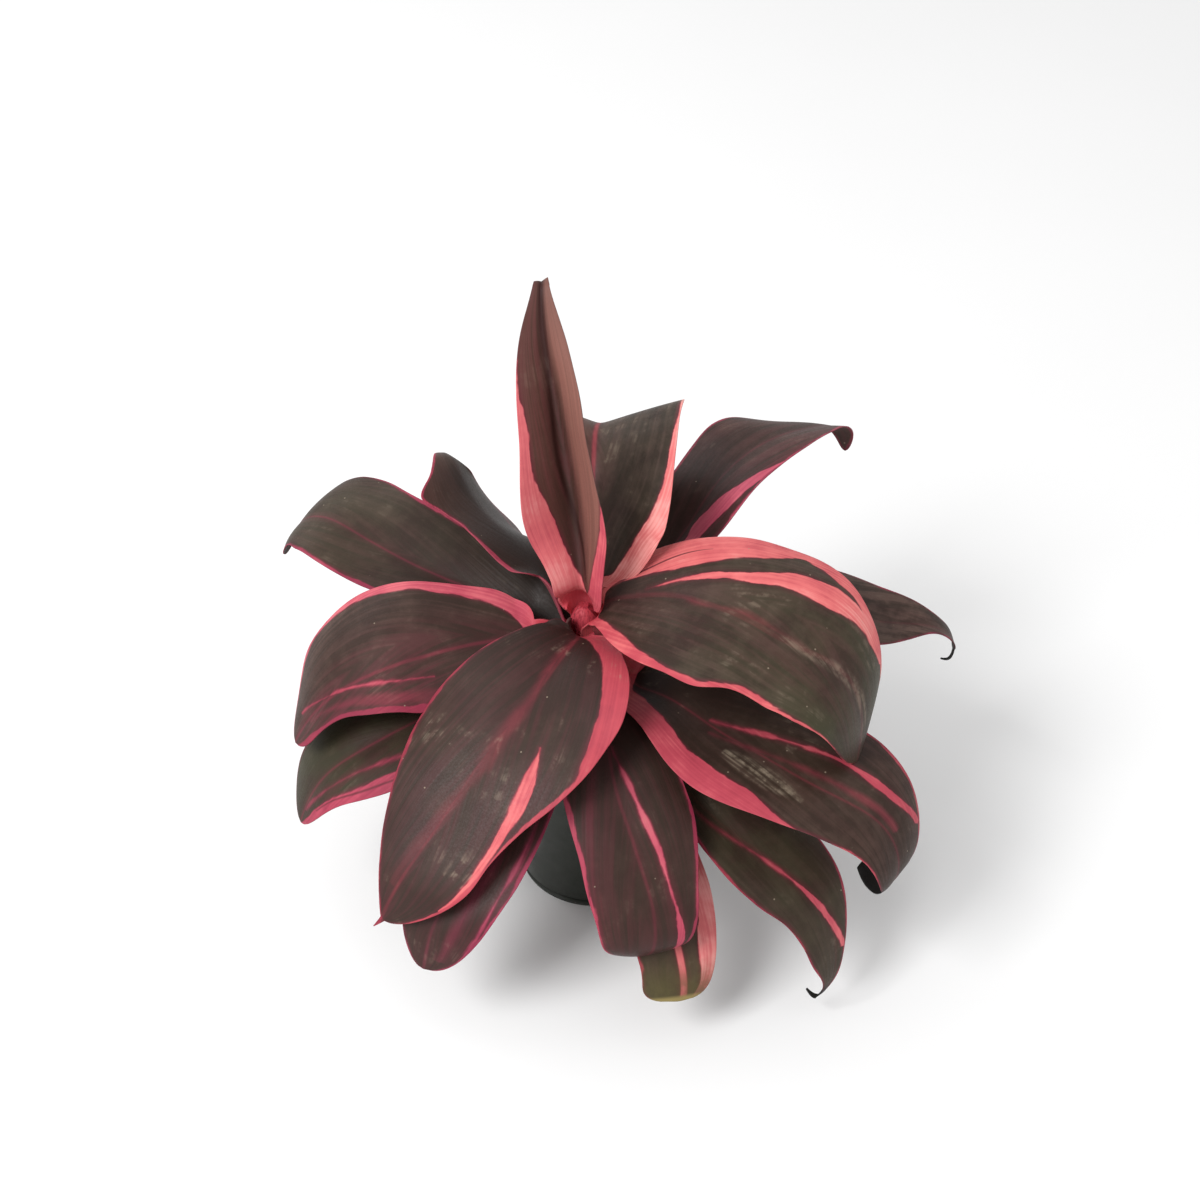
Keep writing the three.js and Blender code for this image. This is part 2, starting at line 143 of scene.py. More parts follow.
# One entry for each leaf, from the youngest at the top of the cane down, in millimetres and degrees.
# Left and right are as seen from the cane. A place along is 0 at the blade's base and 1 at its tip, and
# a place across is -1 at the left margin and 1 at the right one, before trim. A list of pairs gives a
# place along and the value there. Other lists give values at even steps from base to tip.
# azimuth: the way it points in plan. root: the sheath's height on the cane. stalk: the stalk's length.
# path: the midrib's line. hook and hook_wide: the same line past the blade's tip, where it curls, and the
# half widths there. half and tip: the widest half width and the one at the tip.
# wing: how far the stalk widens before the blade. wrap: how much wider each side is round the crown.
# shape: how sharply the blade narrows to its base and tip. uneven: how much wider its left base is.
# trim: each side's width, as a share. bank: the lift of the right side.
# crease and edge: the slopes beside the midrib and at the margin.
# rib: the place across of the midrib. rib_pink and rib_wide: how pink and how wide its line is.
# left and right: the widths of the pink margins, or pairs for the inner line of a broad one, as a place
# across counted outwards. rim: the least width of a broad one. base: the share of the stalk that is pink.
# stripes, crease_shade and sheen_streak: pink stripes, a dark line of painted shade along a fold
# or crease, and a pale streak of painted sheen. Each has its places across, its widths and its strength
# from start to end, and a span where its lists have even steps.
# tints: deep red at 0 to pale salmon at 1, for the left margin, the right one and the stripes.
# cool: how far the pinks lean to magenta. flush and lift: red, and a lit brown of painted light, in the
# dark part, in even steps from left to right. light, green and sear: paler, greener and yellowed parts.
# dark: darker parts of painted shade, most often near the crown.
# scuff_and_sheen: how strong its scuffs and painted sheen patches are. tip_shade_length: the length of
# its end that is darkened with painted shade.
LEAVES = [
    dict(
        name="leaf_spear", azimuth=100, root=187, stalk=22, wing=3, half=34, shape=(0.6, 1.3), tip=4,
        path=[(-8, 3, 208), (-10, 7, 240), (-16, 14, 285), (-24, 23, 335), (-29, 32, 370),
              (-29, 42, 385), (-28, 52, 376)],
        bank=[26, 18, 8], crease=[50, 60, 30], edge=[40, 45, 5], wrap=(7, 7), rim=-1.5,
        trim=([0.85, 0.85, 0.94, 0.98, 1, 1.01, 1.05, 1.08, 1.08, 1, 1],
              [1, 1, 1, 0.95, 0.9, 0.94, 1, 1, 1.08, 1.1, 0.9]),
        rib=[0, 0], rib_pink=0.0,
        left=[(0, -0.2), (0.06, 0.05), (0.12, 0.2), (0.18, 0.29), (0.26, 0.41), (0.34, 0.55),
              (0.41, 0.68), (0.5, 0.78), (0.58, 0.86), (0.67, 1), (0.75, 1.1), (0.85, 1.18), (1, 1.15)],
        right=[(0, 0.3), (0.1, 0.55), (0.2, 0.75), (0.3, 0.88), (0.4, 0.99), (0.5, 1.05),
               (0.8, 1.25), (1, 1.7)],
        crease_shade=dict(at=[(0.05, 0.2), (0.11, 0.16), (0.23, 0.02), (0.36, -0.1), (0.49, -0.15), (0.6, -0.1),
                      (0.77, 0.05), (1, 0)],
                  wide=[(0, 1), (0.2, 3), (0.4, 3.2), (0.6, 3), (0.8, 3.5), (1, 3)],
                  strength=[0.86, 0.84, 0.8]),
        tints=(0.76, 0.6, 0.5), cool=0.2, flush=[1, 1, 0.7, 0.5, 0.5],
        light=[0.1, 0.3, 0.35], lift=[0.3, 0.32, 0.06, 0.85, 0.85], base=0.8,
        dark=[0.4, 0.05, 0.1, 0.45],
    ),
    dict(
        name="leaf_back_upright", azimuth=80, root=173, stalk=32, wing=1, half=50, shape=(0.5, 0.6),
        path=[(0, 15, 202), (2, 29, 228), (5, 45, 254), (6, 69, 269), (7, 98, 259), (8, 124, 224)],
        bank=[0, 2, 2], crease=[38, 28, 10], edge=[20, 16, -10],
        trim=(UNTRIMMED, [1.1, 1.12, 1.05, 0.97, 0.92, 0.94, 1, 1, 1, 1, 1]),
        rib=[-0.14, -0.16, -0.12, 0], rib_pink=0.5, rib_wide=2.6,
        left=[8, 6, 3, 2, 1, 1],
        right=[(0, 0.4), (0.1, 0.61), (0.23, 0.71), (0.35, 0.81), (0.45, 0.87), (0.58, 0.95), (1, 0.95)],
        tints=(0.6, 0.88, 0.62), cool=0.0, scuff_and_sheen=0.8, flush=[0.4, 0.3, 0.2, 0, 0],
        green=[0.3, 0.4, 0.5], light=[0.6, 1.1, 1.5], lift=[0.6, 0.4, 0, 0, 0],
    ),
    dict(
        name="leaf_right_broad", azimuth=-25, root=171, stalk=26, wing=3, half=54, shape=(0.43, 0.5),
        uneven=-0.22,
        path=[(4, -2, 196), (24, -11, 214), (56, -24, 228), (97, -41, 231), (129, -57, 218),
              (146, -73, 189), (145, -84, 154)],
        bank=[-16, -6, 0], crease=[16, 12, 5], edge=[-4, -20, -20], wrap=(1, 9),
        trim=([0.9, 1.03, 1.02, 1, 1.08, 1.1, 1.03, 0.88, 0.88, 0.95, 1],
              [0.46, 0.78, 0.97, 1.03, 1.08, 1.02, 1.05, 1.13, 1.2, 1.12, 1]),
        rib=[0, 0.04, 0.2, 0.3, 0.08, 0], rib_pink=0.12, rib_wide=3.0,
        left=[(0, 0.45), (0.12, 0.4), (0.24, 0.4), (0.29, 0.44), (0.33, 0.49), (0.37, 0.57), (0.42, 0.66),
              (0.46, 0.78), (0.5, 0.93), (0.55, 0.86), (0.6, 0.81), (0.65, 0.78), (0.69, 0.69),
              (0.74, 0.65), (0.79, 0.78), (0.9, 0.91), (1, 0.95)],
        right=[(0, 0.3), (0.05, 0.45), (0.14, 0.66), (0.21, 0.85), (0.27, 0.94), (0.34, 1), (0.4, 1.02),
               (0.46, 0.985), (0.52, 0.96), (0.59, 0.985), (0.7, 1.08), (0.79, 1.165), (0.88, 1.15), (1, 1)],
        stripes=[dict(at=[(0.15, -0.1), (0.25, -0.18), (0.3, -0.21), (0.37, -0.255), (0.43, -0.3),
                          (0.47, -0.36), (0.52, -0.435), (0.57, -0.465), (0.62, -0.53), (0.66, -0.59),
                          (0.74, -0.68), (0.8, -0.8)],
                      wide=[(0.15, 0.4), (0.25, 2.6), (0.3, 3.4), (0.37, 5.5), (0.43, 7.5), (0.47, 9.5),
                            (0.52, 15), (0.57, 17), (0.62, 18), (0.66, 15), (0.74, 9), (0.82, 1)],
                      strength=[0.8, 1, 1, 1]),
                 dict(at=[(0.12, -0.03), (0.26, 0.08), (0.32, 0.16), (0.43, 0.18), (0.55, 0.25),
                          (0.66, 0.29)],
                      wide=[(0.12, 1), (0.3, 1.6), (0.5, 2.2), (0.66, 2)], strength=[0.35, 0.3, 0.15])],
        crease_shade=dict(span=(0.02, 0.31), at=[-0.35, -0.5, -0.66, -0.72], wide=[1.6, 1.5, 1.3, 0.3]),
        sheen_streak=dict(at=[(0.45, 0.24), (0.61, 0.3), (0.68, 0.26), (0.82, 0.04), (0.95, -0.1)],
                   wide=[(0.45, 1), (0.62, 6), (0.78, 9), (0.95, 5)], strength=[0.5, 0.5]),
        tints=(0.7, 0.55, 0.74), cool=0.0, scuff_and_sheen=0.5, flush=[0, 0.1, 0.2, 0.3, 0],
        green=[0.1, 0.6, 1.0], light=[0.6, 0.9, 0.4],
    ),
    dict(
        name="leaf_front_left_broad", azimuth=-122, root=169, stalk=26, wing=2, half=53, shape=(0.42, 0.6),
        uneven=0.18,
        path=[(-10, -15, 188), (-16, -34, 194), (-36, -64, 185), (-62, -97, 163), (-86, -122, 133),
              (-105, -136, 108), (-118, -140, 88)],
        hook=[(-123, -141, 83)], hook_wide=[2.5, 0.4],
        bank=[4, 4, 4], crease=[18, 8, 5], edge=[0, -18, -15], wrap=(3, 4),
        trim=([0.6, 0.92, 1, 0.95, 0.91, 0.84, 0.74, 0.72, 0.84, 0.86, 0.8],
              [0.8, 0.86, 0.95, 1.02, 1.08, 1.07, 1, 0.95, 0.88, 0.72, 0.6]),
        rib=[0, -0.04, 0, 0.06, 0.12, 0.2], rib_pink=0.25, rib_wide=1.8,
        left=[(0, 0.1), (0.05, 0.32), (0.09, 0.5), (0.15, 0.65), (0.23, 0.74), (0.3, 0.765), (0.36, 0.81),
              (0.42, 0.855), (0.47, 0.83), (0.54, 0.765), (0.62, 0.69), (0.7, 0.68), (0.8, 0.8),
              (0.9, 0.82), (1, 0.75)],
        right=[-1, 0.2, 1.6, 1.4, 1, 0.6], rim=0.2,
        stripes=[dict(at=[(0.38, -0.4), (0.45, -0.48), (0.53, -0.545), (0.63, -0.6), (0.71, -0.665),
                          (0.8, -0.8), (0.88, -0.86)],
                      wide=[(0.38, 0.3), (0.44, 5.5), (0.5, 7), (0.6, 6.4), (0.7, 6), (0.8, 4.5), (0.88, 3)],
                      strength=[0.9, 1, 1]),
                 dict(at=[(0.04, 0), (0.15, 0.01), (0.28, -0.03), (0.42, -0.01), (0.51, -0.02), (0.62, 0.09),
                          (0.76, 0.18), (0.9, 0.26)],
                      wide=[(0.04, 2), (0.2, 4), (0.5, 6), (0.8, 6), (0.9, 3)],
                      strength=[0.4, 0.25, 0.2, 0.1])],
        tints=(0.36, 0.04, 0.62), cool=0.0, scuff_and_sheen=0.8, flush=[0.4, 0.5, 0.6, 0.5, 0.3],
        green=[0, 0.25, 0.15], light=[0.15, 0.3, 0.1], dark=[0.9, 0.3, 0.3, 0.4], base=0.5,
    ),
    dict(
        name="leaf_left_high", azimuth=150, root=146, stalk=44, wing=9, half=42, shape=(0.6, 0.6),
        path=[(-22, 14, 164), (-48, 29, 175), (-94, 54, 185), (-147, 84, 191), (-172, 99, 189),
              (-183, 105, 179), (-187, 106, 167)],
        bank=[14, 12, 8], crease=[25, 15, 5], edge=[10, 0, -10],
        trim=([1.2, 1, 0.9, 0.87, 0.84, 0.86, 0.87, 0.9, 0.94, 1.1, 2.4],
              [1.2, 1, 0.9, 0.85, 0.83, 0.84, 0.92, 1.12, 1.36, 1.7, 3]),
        wrap=(0, 10),
        rib=[0, -0.1, -0.13, -0.07, 0.02, 0], rib_pink=0.3, rib_wide=1.2, base=0.3,
        left=[3, 1, 1, 2, 1.2, 0.6], right=[3, 3, 2.2, 1.4, 0.8, 0.5],
        tints=(0.2, 0.25, 0.35), cool=0.6, flush=[0.1, 0.15, 0.25, 0, 0.1],
        green=[0.2, 0.4, 0.6], light=[0.1, 0.4, 0.5], dark=[0.9, 0.5, 0.1, 0],
    ),
    dict(
        name="leaf_back_right", azimuth=45, root=158, stalk=44, wing=4, half=36, shape=(0.5, 0.5),
        uneven=0.15,
        path=[(12, 15, 175), (31, 36, 190), (51, 58, 206), (74, 84, 228), (101, 107, 238),
              (131, 127, 236), (152, 138, 225), (154, 136, 213)],
        bank=[6, 13, 20], crease=[20, 10, 5], edge=[10, 0, -10],
        trim=([0.85, 0.85, 0.85, 0.85, 0.87, 0.98, 1.14, 1.2, 0.95, 0.5, 0.35],
              [0.9, 0.92, 0.94, 0.98, 1, 0.97, 0.9, 0.85, 0.72, 0.45, 0.35]),
        rib=[0, 0, 0], rib_pink=0.15, rib_wide=1.2,
        left=[3, 1, 1, 1.2, 1, 1.5], right=[3, 1, 1, 1, 1, 2],
        stripes=[dict(at=[(0, 0.3), (0.2, 0.38), (0.3, 0.42), (0.36, 0.53), (0.43, 0.72), (0.5, 0.85),
                          (0.6, 0.93)],
                      wide=[(0, 6), (0.2, 11), (0.3, 13), (0.36, 13), (0.43, 10), (0.5, 6), (0.6, 0.5)],
                      strength=[0.9, 1, 1])],
        tints=(0.2, 0.3, 0.56), cool=0.6, flush=[0.4, 0.3, 0.4, 0.6, 1],
        green=[0, 0, 0.2], light=[0.1, 0.4, 0.6], dark=[0.9, 0.4, 0, 0],
    ),
    dict(
        name="leaf_left", azimuth=190, root=158, stalk=34, wing=5, half=45, shape=(0.42, 0.5),
        path=[(-26, -2, 176), (-50, -7, 182), (-86, -14, 187), (-122, -24, 184), (-154, -38, 162),
              (-172, -48, 136)],
        bank=[16, 15, 8], crease=[12, 8, 5], edge=[-5, -18, -15],
        trim=([1, 1, 1, 1, 1, 1, 0.94, 0.82, 0.62, 0.6, 0.8],
              [0.8, 0.88, 0.89, 0.91, 0.98, 1.08, 1.2, 1.26, 1.3, 1.15, 1]),
        rib=[0, -0.14, -0.25, -0.25, -0.1, 0.1], rib_pink=0.3, rib_wide=2.0,
        left=[(0, 0.6), (0.2, 0.86), (0.35, 0.9), (0.47, 0.9), (0.56, 0.88), (0.63, 0.83), (0.7, 0.72),
              (0.77, 0.56), (0.86, 0.5), (1, 0.5)],
        right=[(0, 0.1), (0.03, 0.2), (0.07, 0.38), (0.12, 0.53), (0.21, 0.63), (0.3, 0.7), (0.37, 0.79),
               (0.45, 0.87), (0.52, 0.96), (0.58, 1.04), (0.65, 1.15), (0.75, 1.2), (1, 0.9)],
        stripes=[dict(at=[(0.38, -0.57), (0.45, -0.54), (0.52, -0.51), (0.63, -0.38), (0.72, -0.2),
                          (0.82, 0.03), (0.92, 0.42)],
                      wide=[(0.38, 0.3), (0.5, 1.6), (0.7, 2), (0.92, 1.6)], strength=[0.8, 0.8, 0.7]),
                 dict(at=[(0.3, -0.8), (0.5, -0.78), (0.63, -0.68), (0.77, -0.4), (0.9, -0.1)],
                      wide=[(0.3, 3), (0.5, 7), (0.67, 7), (0.9, 3)], strength=[0.25, 0.35, 0.25])],
        tints=(0.05, 0.54, 0.42), cool=0.35, flush=[0.9, 0.9, 0.7, 0.1, 0.1],
        green=[0.1, 0.1, 0.1], light=[0.2, 0.5, 0.4],
    ),
    dict(
        name="leaf_back_left", azimuth=125, root=161, stalk=46, wing=7, half=42, shape=(0.5, 0.7),
        path=[(-19, 19, 185), (-34, 38, 199), (-56, 60, 209), (-76, 82, 221), (-86, 100, 232),
              (-91, 110, 229)],
        bank=[-20, -36, -36], crease=[4, -8, -8], edge=[0, -20, -20],
        trim=([0.9, 0.7, 0.66, 0.65, 0.64, 0.64, 0.8, 1.15, 0.85, 0.7, 0.8],
              [1.2, 1.2, 1.25, 1.3, 1.35, 1.3, 1.05, 1, 0.95, 0.95, 1]),
        rib=[0, 0], rib_pink=0.0, left=[3, 2.4, 1.6, 1.2, 0.8, 0.5], right=[2, 2, 2.4, 2, 1, 0.6],
        lift=[0.35, 0.15, 0, 0, 0.25], base=0.35, wrap=(0, 9),
        stripes=[dict(span=(0.05, 0.8), at=[0.5, 0.6, 0.85, 1.0], wide=[0.5, 2.5, 2.5, 1],
                      strength=[0.3, 0.5, 0.4, 0.2])],
        tints=(0.35, 0.45, 0.4), cool=0.5, flush=[0.1, 0.1, 0.1, 0.1, 0.1],
        green=[0.1, 0.1, 0.2], light=[0, 0.2, 0.5], dark=[0.9, 0.8, 0.6, 0.2],
    ),
    dict(
        name="leaf_front", azimuth=-80, root=146, stalk=30, wing=2, half=38, shape=(0.42, 0.42),
        path=[(-2, -20, 157), (3, -42, 158), (12, -76, 153), (20, -112, 134), (26, -140, 102),
              (29, -152, 76), (27, -144, 62)],
        bank=[6, 3, 0], crease=[16, 8, 5], edge=[0, -15, -15],
        trim=([1, 1, 1, 0.9, 0.9, 0.95, 0.95, 0.95, 1, 1.04, 1.05],
              [1, 1, 1, 0.97, 0.95, 0.9, 0.85, 0.86, 0.87, 0.98, 1.05]),
        rib=[0, 0.1, 0.14, 0, -0.16, -0.1], rib_pink=0.2, rib_wide=1.6,
        left=[2, 1.5, 1.5, 1.5, 1.5, 1], right=[3, 2.5, 2.4, 2.2, 1.6, 1],
        stripes=[dict(at=[(0.24, 0.08), (0.3, 0.03), (0.38, -0.06), (0.46, -0.14), (0.53, -0.23),
                          (0.6, -0.33), (0.68, -0.42), (0.81, -0.6), (0.96, -0.88)],
                      wide=[(0.24, 0.3), (0.38, 1.8), (0.53, 2.9), (0.7, 3.2), (0.96, 3.4)],
                      strength=[0.6, 0.9, 1, 1]),
                 dict(at=[(0.2, 0.3), (0.48, 0.6), (0.72, 0.74), (0.9, 0.8)],
                      wide=[(0.2, 1), (0.5, 4), (0.9, 2)], strength=[0.15, 0.2, 0.1])],
        tints=(0.2, 0.3, 0.5), cool=0.5, flush=[0.2, 0.4, 0.5, 0.6, 0.5],
        green=[0, 0.15, 0.1], light=[0, 0.1, 0.1], dark=[0.7, 0.4, 0.25, 0.2],
    ),
    dict(
        name="leaf_front_right", azimuth=-38, root=157, stalk=34, wing=5, half=47, shape=(0.38, 0.5),
        path=[(14, -14, 163), (38, -30, 163), (72, -54, 163), (108, -80, 160), (142, -104, 148),
              (164, -120, 124), (163, -127, 100)],
        hook=[(159, -124, 95.5), (152, -118, 98), (147, -115, 105)], hook_wide=[8, 7, 6, 3.5],
        bank=[0, 0, 0], crease=[20, 8, 5], edge=[5, -14, -15],
        trim=([1, 1, 1, 1, 1, 1, 1, 1.06, 1.1, 1, 1],
              [0.9, 0.95, 1.05, 1.12, 1.15, 1.13, 1.03, 0.9, 0.84, 0.86, 0.9]),
        rib=[0.1, 0.2, 0.27, 0.27, 0.05, -0.2], rib_pink=0.25, rib_wide=1.2,
        left=[8, 2, 1.2, 1.2, 1.5, 1],
        right=[(0, 0.2), (0.08, 0.42), (0.14, 0.55), (0.2, 0.63), (0.26, 0.73), (0.36, 0.8), (0.43, 0.82),
               (0.5, 0.85), (0.56, 0.9), (0.62, 0.96), (0.7, 0.89), (0.8, 0.82), (0.9, 0.84), (1, 0.88)],
        stripes=[dict(at=[(0.27, 0.18), (0.32, 0.13), (0.41, 0.02), (0.52, -0.12), (0.62, -0.27),
                          (0.68, -0.34), (0.75, -0.42), (0.81, -0.57), (0.87, -0.93)],
                      wide=[(0.27, 0.3), (0.35, 1.8), (0.52, 3.2), (0.65, 4), (0.75, 4.6), (0.87, 5)],
                      strength=[0.5, 0.9, 1, 1]),
                 dict(at=[(0.3, 0.35), (0.5, 0.2), (0.7, 0), (0.85, -0.2)],
                      wide=[(0.3, 0.4), (0.5, 1.4), (0.7, 3), (0.85, 3)], strength=[0.3, 0.35, 0.4])],
        sheen_streak=dict(at=[(0.36, 0.5), (0.5, 0.55), (0.62, 0.56)],
                   wide=[(0.34, 0.5), (0.42, 10), (0.52, 13), (0.63, 2)],
                   strength=[0.8, 0.85, 0.6]),
        tints=(0.3, 0.5, 0.5), cool=0.15, scuff_and_sheen=0.6, flush=[0.2, 0.1, 0, 0.1, 0],
        green=[0, 0.2, 0.1], light=[0, 0.5, 0.4], dark=[1, 0.35, 0.1, 0], tip_shade_length=6,
    ),
    dict(
        name="leaf_left_low", azimuth=203, root=134, stalk=40, wing=2, half=39, shape=(0.5, 0.5),
        path=[(-26, -10, 146), (-50, -22, 152), (-86, -36, 153), (-124, -50, 144), (-154, -60, 124),
              (-170, -70, 94)],
        bank=[12, 10, 5], crease=[25, 10, 5], edge=[5, -15, -15],
        trim=([1, 1, 1, 1, 1, 1, 1, 0.92, 0.82, 0.7, 0.6],
              [1, 1, 1, 1, 1, 0.8, 0.72, 0.77, 0.9, 1.02, 1]),
        rib=[0, -0.05, -0.1, 0.1], rib_pink=0.3, rib_wide=1.3,
        left=[(0, 0.5), (0.3, 0.76), (0.56, 0.76), (0.65, 0.71), (0.78, 0.6), (0.88, 0.47), (1, 0.3)],
        right=[2, 1.5, 1, 0.8, 0.6, 0.4],
        stripes=[dict(at=[(0.35, -0.54), (0.52, -0.53), (0.67, -0.44), (0.85, -0.26), (0.95, 0)],
                      wide=[(0.35, 0.3), (0.55, 1.5), (0.8, 1.6), (0.95, 1)], strength=[0.4, 0.7, 0.6])],
        crease_shade=dict(at=[(0.45, -0.9), (0.6, -0.84), (0.75, -0.72), (0.92, -0.45)],
                  wide=[(0.45, 0.8), (0.7, 1.5), (0.92, 0.8)], strength=[0.95, 0.95]),
        tints=(0.28, 0.1, 0.3), cool=0.5, flush=[0.7, 0.5, 0.1, 0, 0],
        green=[0.6, 0.8, 0.9], light=[0, 0.1, 0.15], dark=[0.5, 0.45, 0.35, 0.3],
    ),
    dict(
        name="leaf_right_low", azimuth=5, root=136, stalk=50, wing=0, half=34, shape=(0.5, 0.5),
        path=[(24, 8, 156), (46, 12, 174), (82, 16, 188), (126, 18, 190), (168, 18, 182),
              (204, 14, 170), (211, 12, 156)],
        hook=[(208, 10, 150), (203, 9, 151)], hook_wide=[2.4, 2, 0.8],
        bank=[0, 0, 0], crease=[30, 12, 5], edge=[10, -10, -10],
        trim=([1, 1, 1, 1, 1, 0.98, 0.85, 0.62, 0.5, 0.4, 0.6],
              [1, 1, 1, 1, 1, 1, 1.05, 0.98, 0.78, 0.4, 0.4]),
        rib=[0, 0.1, 0.25, 0.36, 0.3, 0], rib_pink=0.1, rib_wide=1.2,
        left=[2, 1, 1, 0.6, 0.4, 0.3], right=[2, 1, 1, 0.6, 0.4, 0.3],
        tints=(0.1, 0.1, 0.3), cool=0.5, flush=[0, 0, 0.1, 0, 0],
        green=[0.1, 0.1, 0.1], light=[0.6, 1.3, 1.5], tip_shade_length=14,
    ),
    dict(
        name="leaf_front_left_low", azimuth=-112, root=122, stalk=42, half=34, shape=(0.5, 0.45),
        path=[(-12, -26, 136), (-27, -54, 139), (-50, -90, 131), (-72, -123, 110), (-90, -144, 84),
              (-96, -150, 58)],
        **LOW,
        trim=([1, 0.9, 0.9, 0.9, 0.9, 0.92, 0.95, 0.95, 0.97, 1, 1],
              [1, 1, 1, 1, 1, 1, 0.95, 0.88, 0.8, 0.7, 0.6]),
        rib=[0, 0, 0], rib_pink=0.2, rib_wide=1.5,
        left=[2, 2, 1.5, 1.4, 1.2, 1], right=[2, 2, 2, 1.2, 1, 0.6],
        stripes=[dict(at=[(0.35, -0.7), (0.55, -0.77), (0.66, -0.79), (0.73, -0.83), (0.8, -0.89),
                          (0.93, -1)],
                      wide=[(0.35, 0.3), (0.55, 1.8), (0.75, 2), (0.93, 1.4)], strength=[0.6, 0.8, 0.8]),
                 dict(at=[(0.3, -0.2), (0.6, -0.4), (0.95, -0.5)], wide=[(0.3, 0.5), (0.6, 6), (0.95, 4)],
                      strength=[0.3, 0.35, 0.2])],
        tints=(0.2, 0.15, 0.34), cool=0.8, flush=[0.6, 0.6, 0.5, 0.3, 0.1],
        green=[0, 0, 0], light=[0, 0.1, 0.1], dark=[0.5, 0.4, 0.3, 0.3],
    ),
    dict(
        name="leaf_front_right_low", azimuth=-50, root=125, stalk=42, half=33, shape=(0.5, 0.85),
        path=[(18, -22, 136), (40, -48, 132), (72, -79, 119), (103, -103, 100), (128, -121, 74),
              (136, -131, 44), (131, -134, 22)],
        hook=[(127, -134, 17.5), (121, -132, 22)], hook_wide=[2.2, 1.8, 0.7],
        **LOW,
        trim=([1, 1, 1, 1, 1, 1, 0.97, 0.92, 0.75, 0.6, 0.8],
              [0.8, 0.8, 0.8, 0.8, 0.92, 1.05, 1.07, 1, 1.1, 1.3, 1]),
        rib=[0.1, 0.3, 0.3, 0.1, -0.1, 0], rib_pink=0.05, rib_wide=1.4,
        left=[2, 2, 1.2, 1, 0.8, 0.5], right=[2, 1.5, 1, 0.8, 0.8, 0.5],
        stripes=[dict(at=[(0.28, 0.5), (0.38, 0.43), (0.5, 0.28), (0.57, 0.2), (0.64, 0.12), (0.71, 0.02),
                          (0.79, -0.2), (0.86, -0.56)],
                      wide=[(0.28, 0.3), (0.45, 1.2), (0.57, 2), (0.7, 3), (0.86, 3.8)],
                      strength=[0.4, 0.6, 1, 1])],
        tints=(0.2, 0.1, 0.6), cool=0.2, flush=[0, 0, 0.1, 0, 0],
        green=[0.3, 0.6, 0.4], light=[0, 0.3, 0.3], tip_shade_length=9,
    ),
    dict(
        name="leaf_back_right_low", azimuth=35, root=120, stalk=42, half=34, shape=(0.5, 0.5),
        path=[(22, 16, 132), (44, 32, 136), (72, 52, 128), (98, 72, 108), (116, 86, 80), (124, 92, 54)],
        **LOW,
        rib=[0, 0.05, 0], rib_pink=0.3, rib_wide=1.8,
        left=[3, 4, 3, 2, 1.5, 1], right=[3, 6, 5, 3, 2, 1],
        stripes=[dict(span=(0.25, 0.95), at=[0.3, 0.4, 0.6, 0.9], wide=[0.4, 3, 3.4, 2],
                      strength=[0.4, 1, 1, 0.8])],
        tints=(0.4, 0.5, 0.55), cool=0.3, flush=[0.2, 0.3, 0.4, 0.3, 0.2],
        green=[0.1, 0.3, 0.3], light=[0.1, 0.4, 0.4],
    ),
    dict(
        name="leaf_back_left_low", azimuth=148, root=121, stalk=42, half=34, shape=(0.5, 0.5),
        path=[(-22, 20, 134), (-44, 36, 136), (-72, 56, 126), (-98, 74, 104), (-114, 86, 76),
              (-120, 90, 50)],
        **LOW,
        rib=[0, -0.05, 0], rib_pink=0.3, rib_wide=1.8,
        left=[3, 7, 5, 3, 2, 1], right=[3, 3, 2, 1.5, 1, 1],
        stripes=[dict(span=(0.3, 0.95), at=[-0.25, -0.4, -0.65, -0.9], wide=[0.4, 2, 3, 2],
                      strength=[0.4, 1, 1, 0.8])],
        tints=(0.5, 0.3, 0.5), cool=0.4, flush=[0.2, 0.3, 0.4, 0.2, 0.1],
        green=[0, 0.2, 0.3], light=[0.1, 0.4, 0.4],
    ),
    dict(
        name="leaf_front_low", azimuth=-73, root=112, stalk=46, half=30, shape=(0.5, 0.35),
        path=[(8, -26, 120), (18, -56, 117), (29, -88, 102), (39, -118, 79), (45, -142, 58),
              (47, -156, 38)],
        **LOW,
        trim=([0.9, 0.9, 0.9, 0.9, 0.9, 0.9, 0.93, 0.94, 0.94, 0.98, 1.1],
              [1, 1, 1, 1, 1, 1, 0.9, 0.85, 0.81, 0.9, 1.35]),
        rib=[0, 0, 0, 0, -0.08, -0.22], rib_pink=1.0, rib_wide=4.0,
        left=[(0, 0.5), (0.3, 0.6), (0.5, 0.64), (0.64, 0.6), (0.71, 0.55), (0.82, 0.52), (0.91, 0.6),
              (1, 0.7)],
        right=[3, 2, 2, 1.5, 1, 0.6],
        tints=(0.86, 0.3, 0.66), cool=0.15, flush=[0.2, 0.2, 0.3, 0.1, 0],
        green=[0, 0.2, 0.6], light=[0.2, 0.4, 0.6], sear=[0, 0, 0, 0, 0.15, 0.9],
    ),
    dict(
        name="leaf_back_low", azimuth=92, root=110, stalk=42, half=34, shape=(0.5, 0.5),
        path=[(-4, 30, 124), (-4, 56, 128), (-4, 90, 118), (-2, 116, 94), (0, 132, 64), (2, 138, 40)],
        **LOW,
        rib=[0, 0.05, 0.05, 0], rib_pink=0.4, rib_wide=2.0,
        left=[3, 5, 4, 3, 2, 1], right=[3, 3, 2.5, 2, 1.5, 1],
        stripes=[dict(span=(0.3, 0.96), at=[-0.3, -0.42, -0.65, -0.92], wide=[0.4, 2.4, 3, 2],
                      strength=[0.4, 1, 1, 0.8])],
        tints=(0.5, 0.4, 0.5), cool=0.3, flush=[0.2, 0.3, 0.4, 0.3, 0.2],
        green=[0.1, 0.3, 0.2], light=[0.1, 0.4, 0.4],
    ),
]


def colour(code):
    """A linear colour from a six-digit sRGB code."""
    parts = [int(code[i:i + 2], 16) / 255 for i in (1, 3, 5)]
    return tuple(c / 12.92 if c < 0.04045 else ((c + 0.055) / 1.055) ** 2.4 for c in parts) + (1.0,)


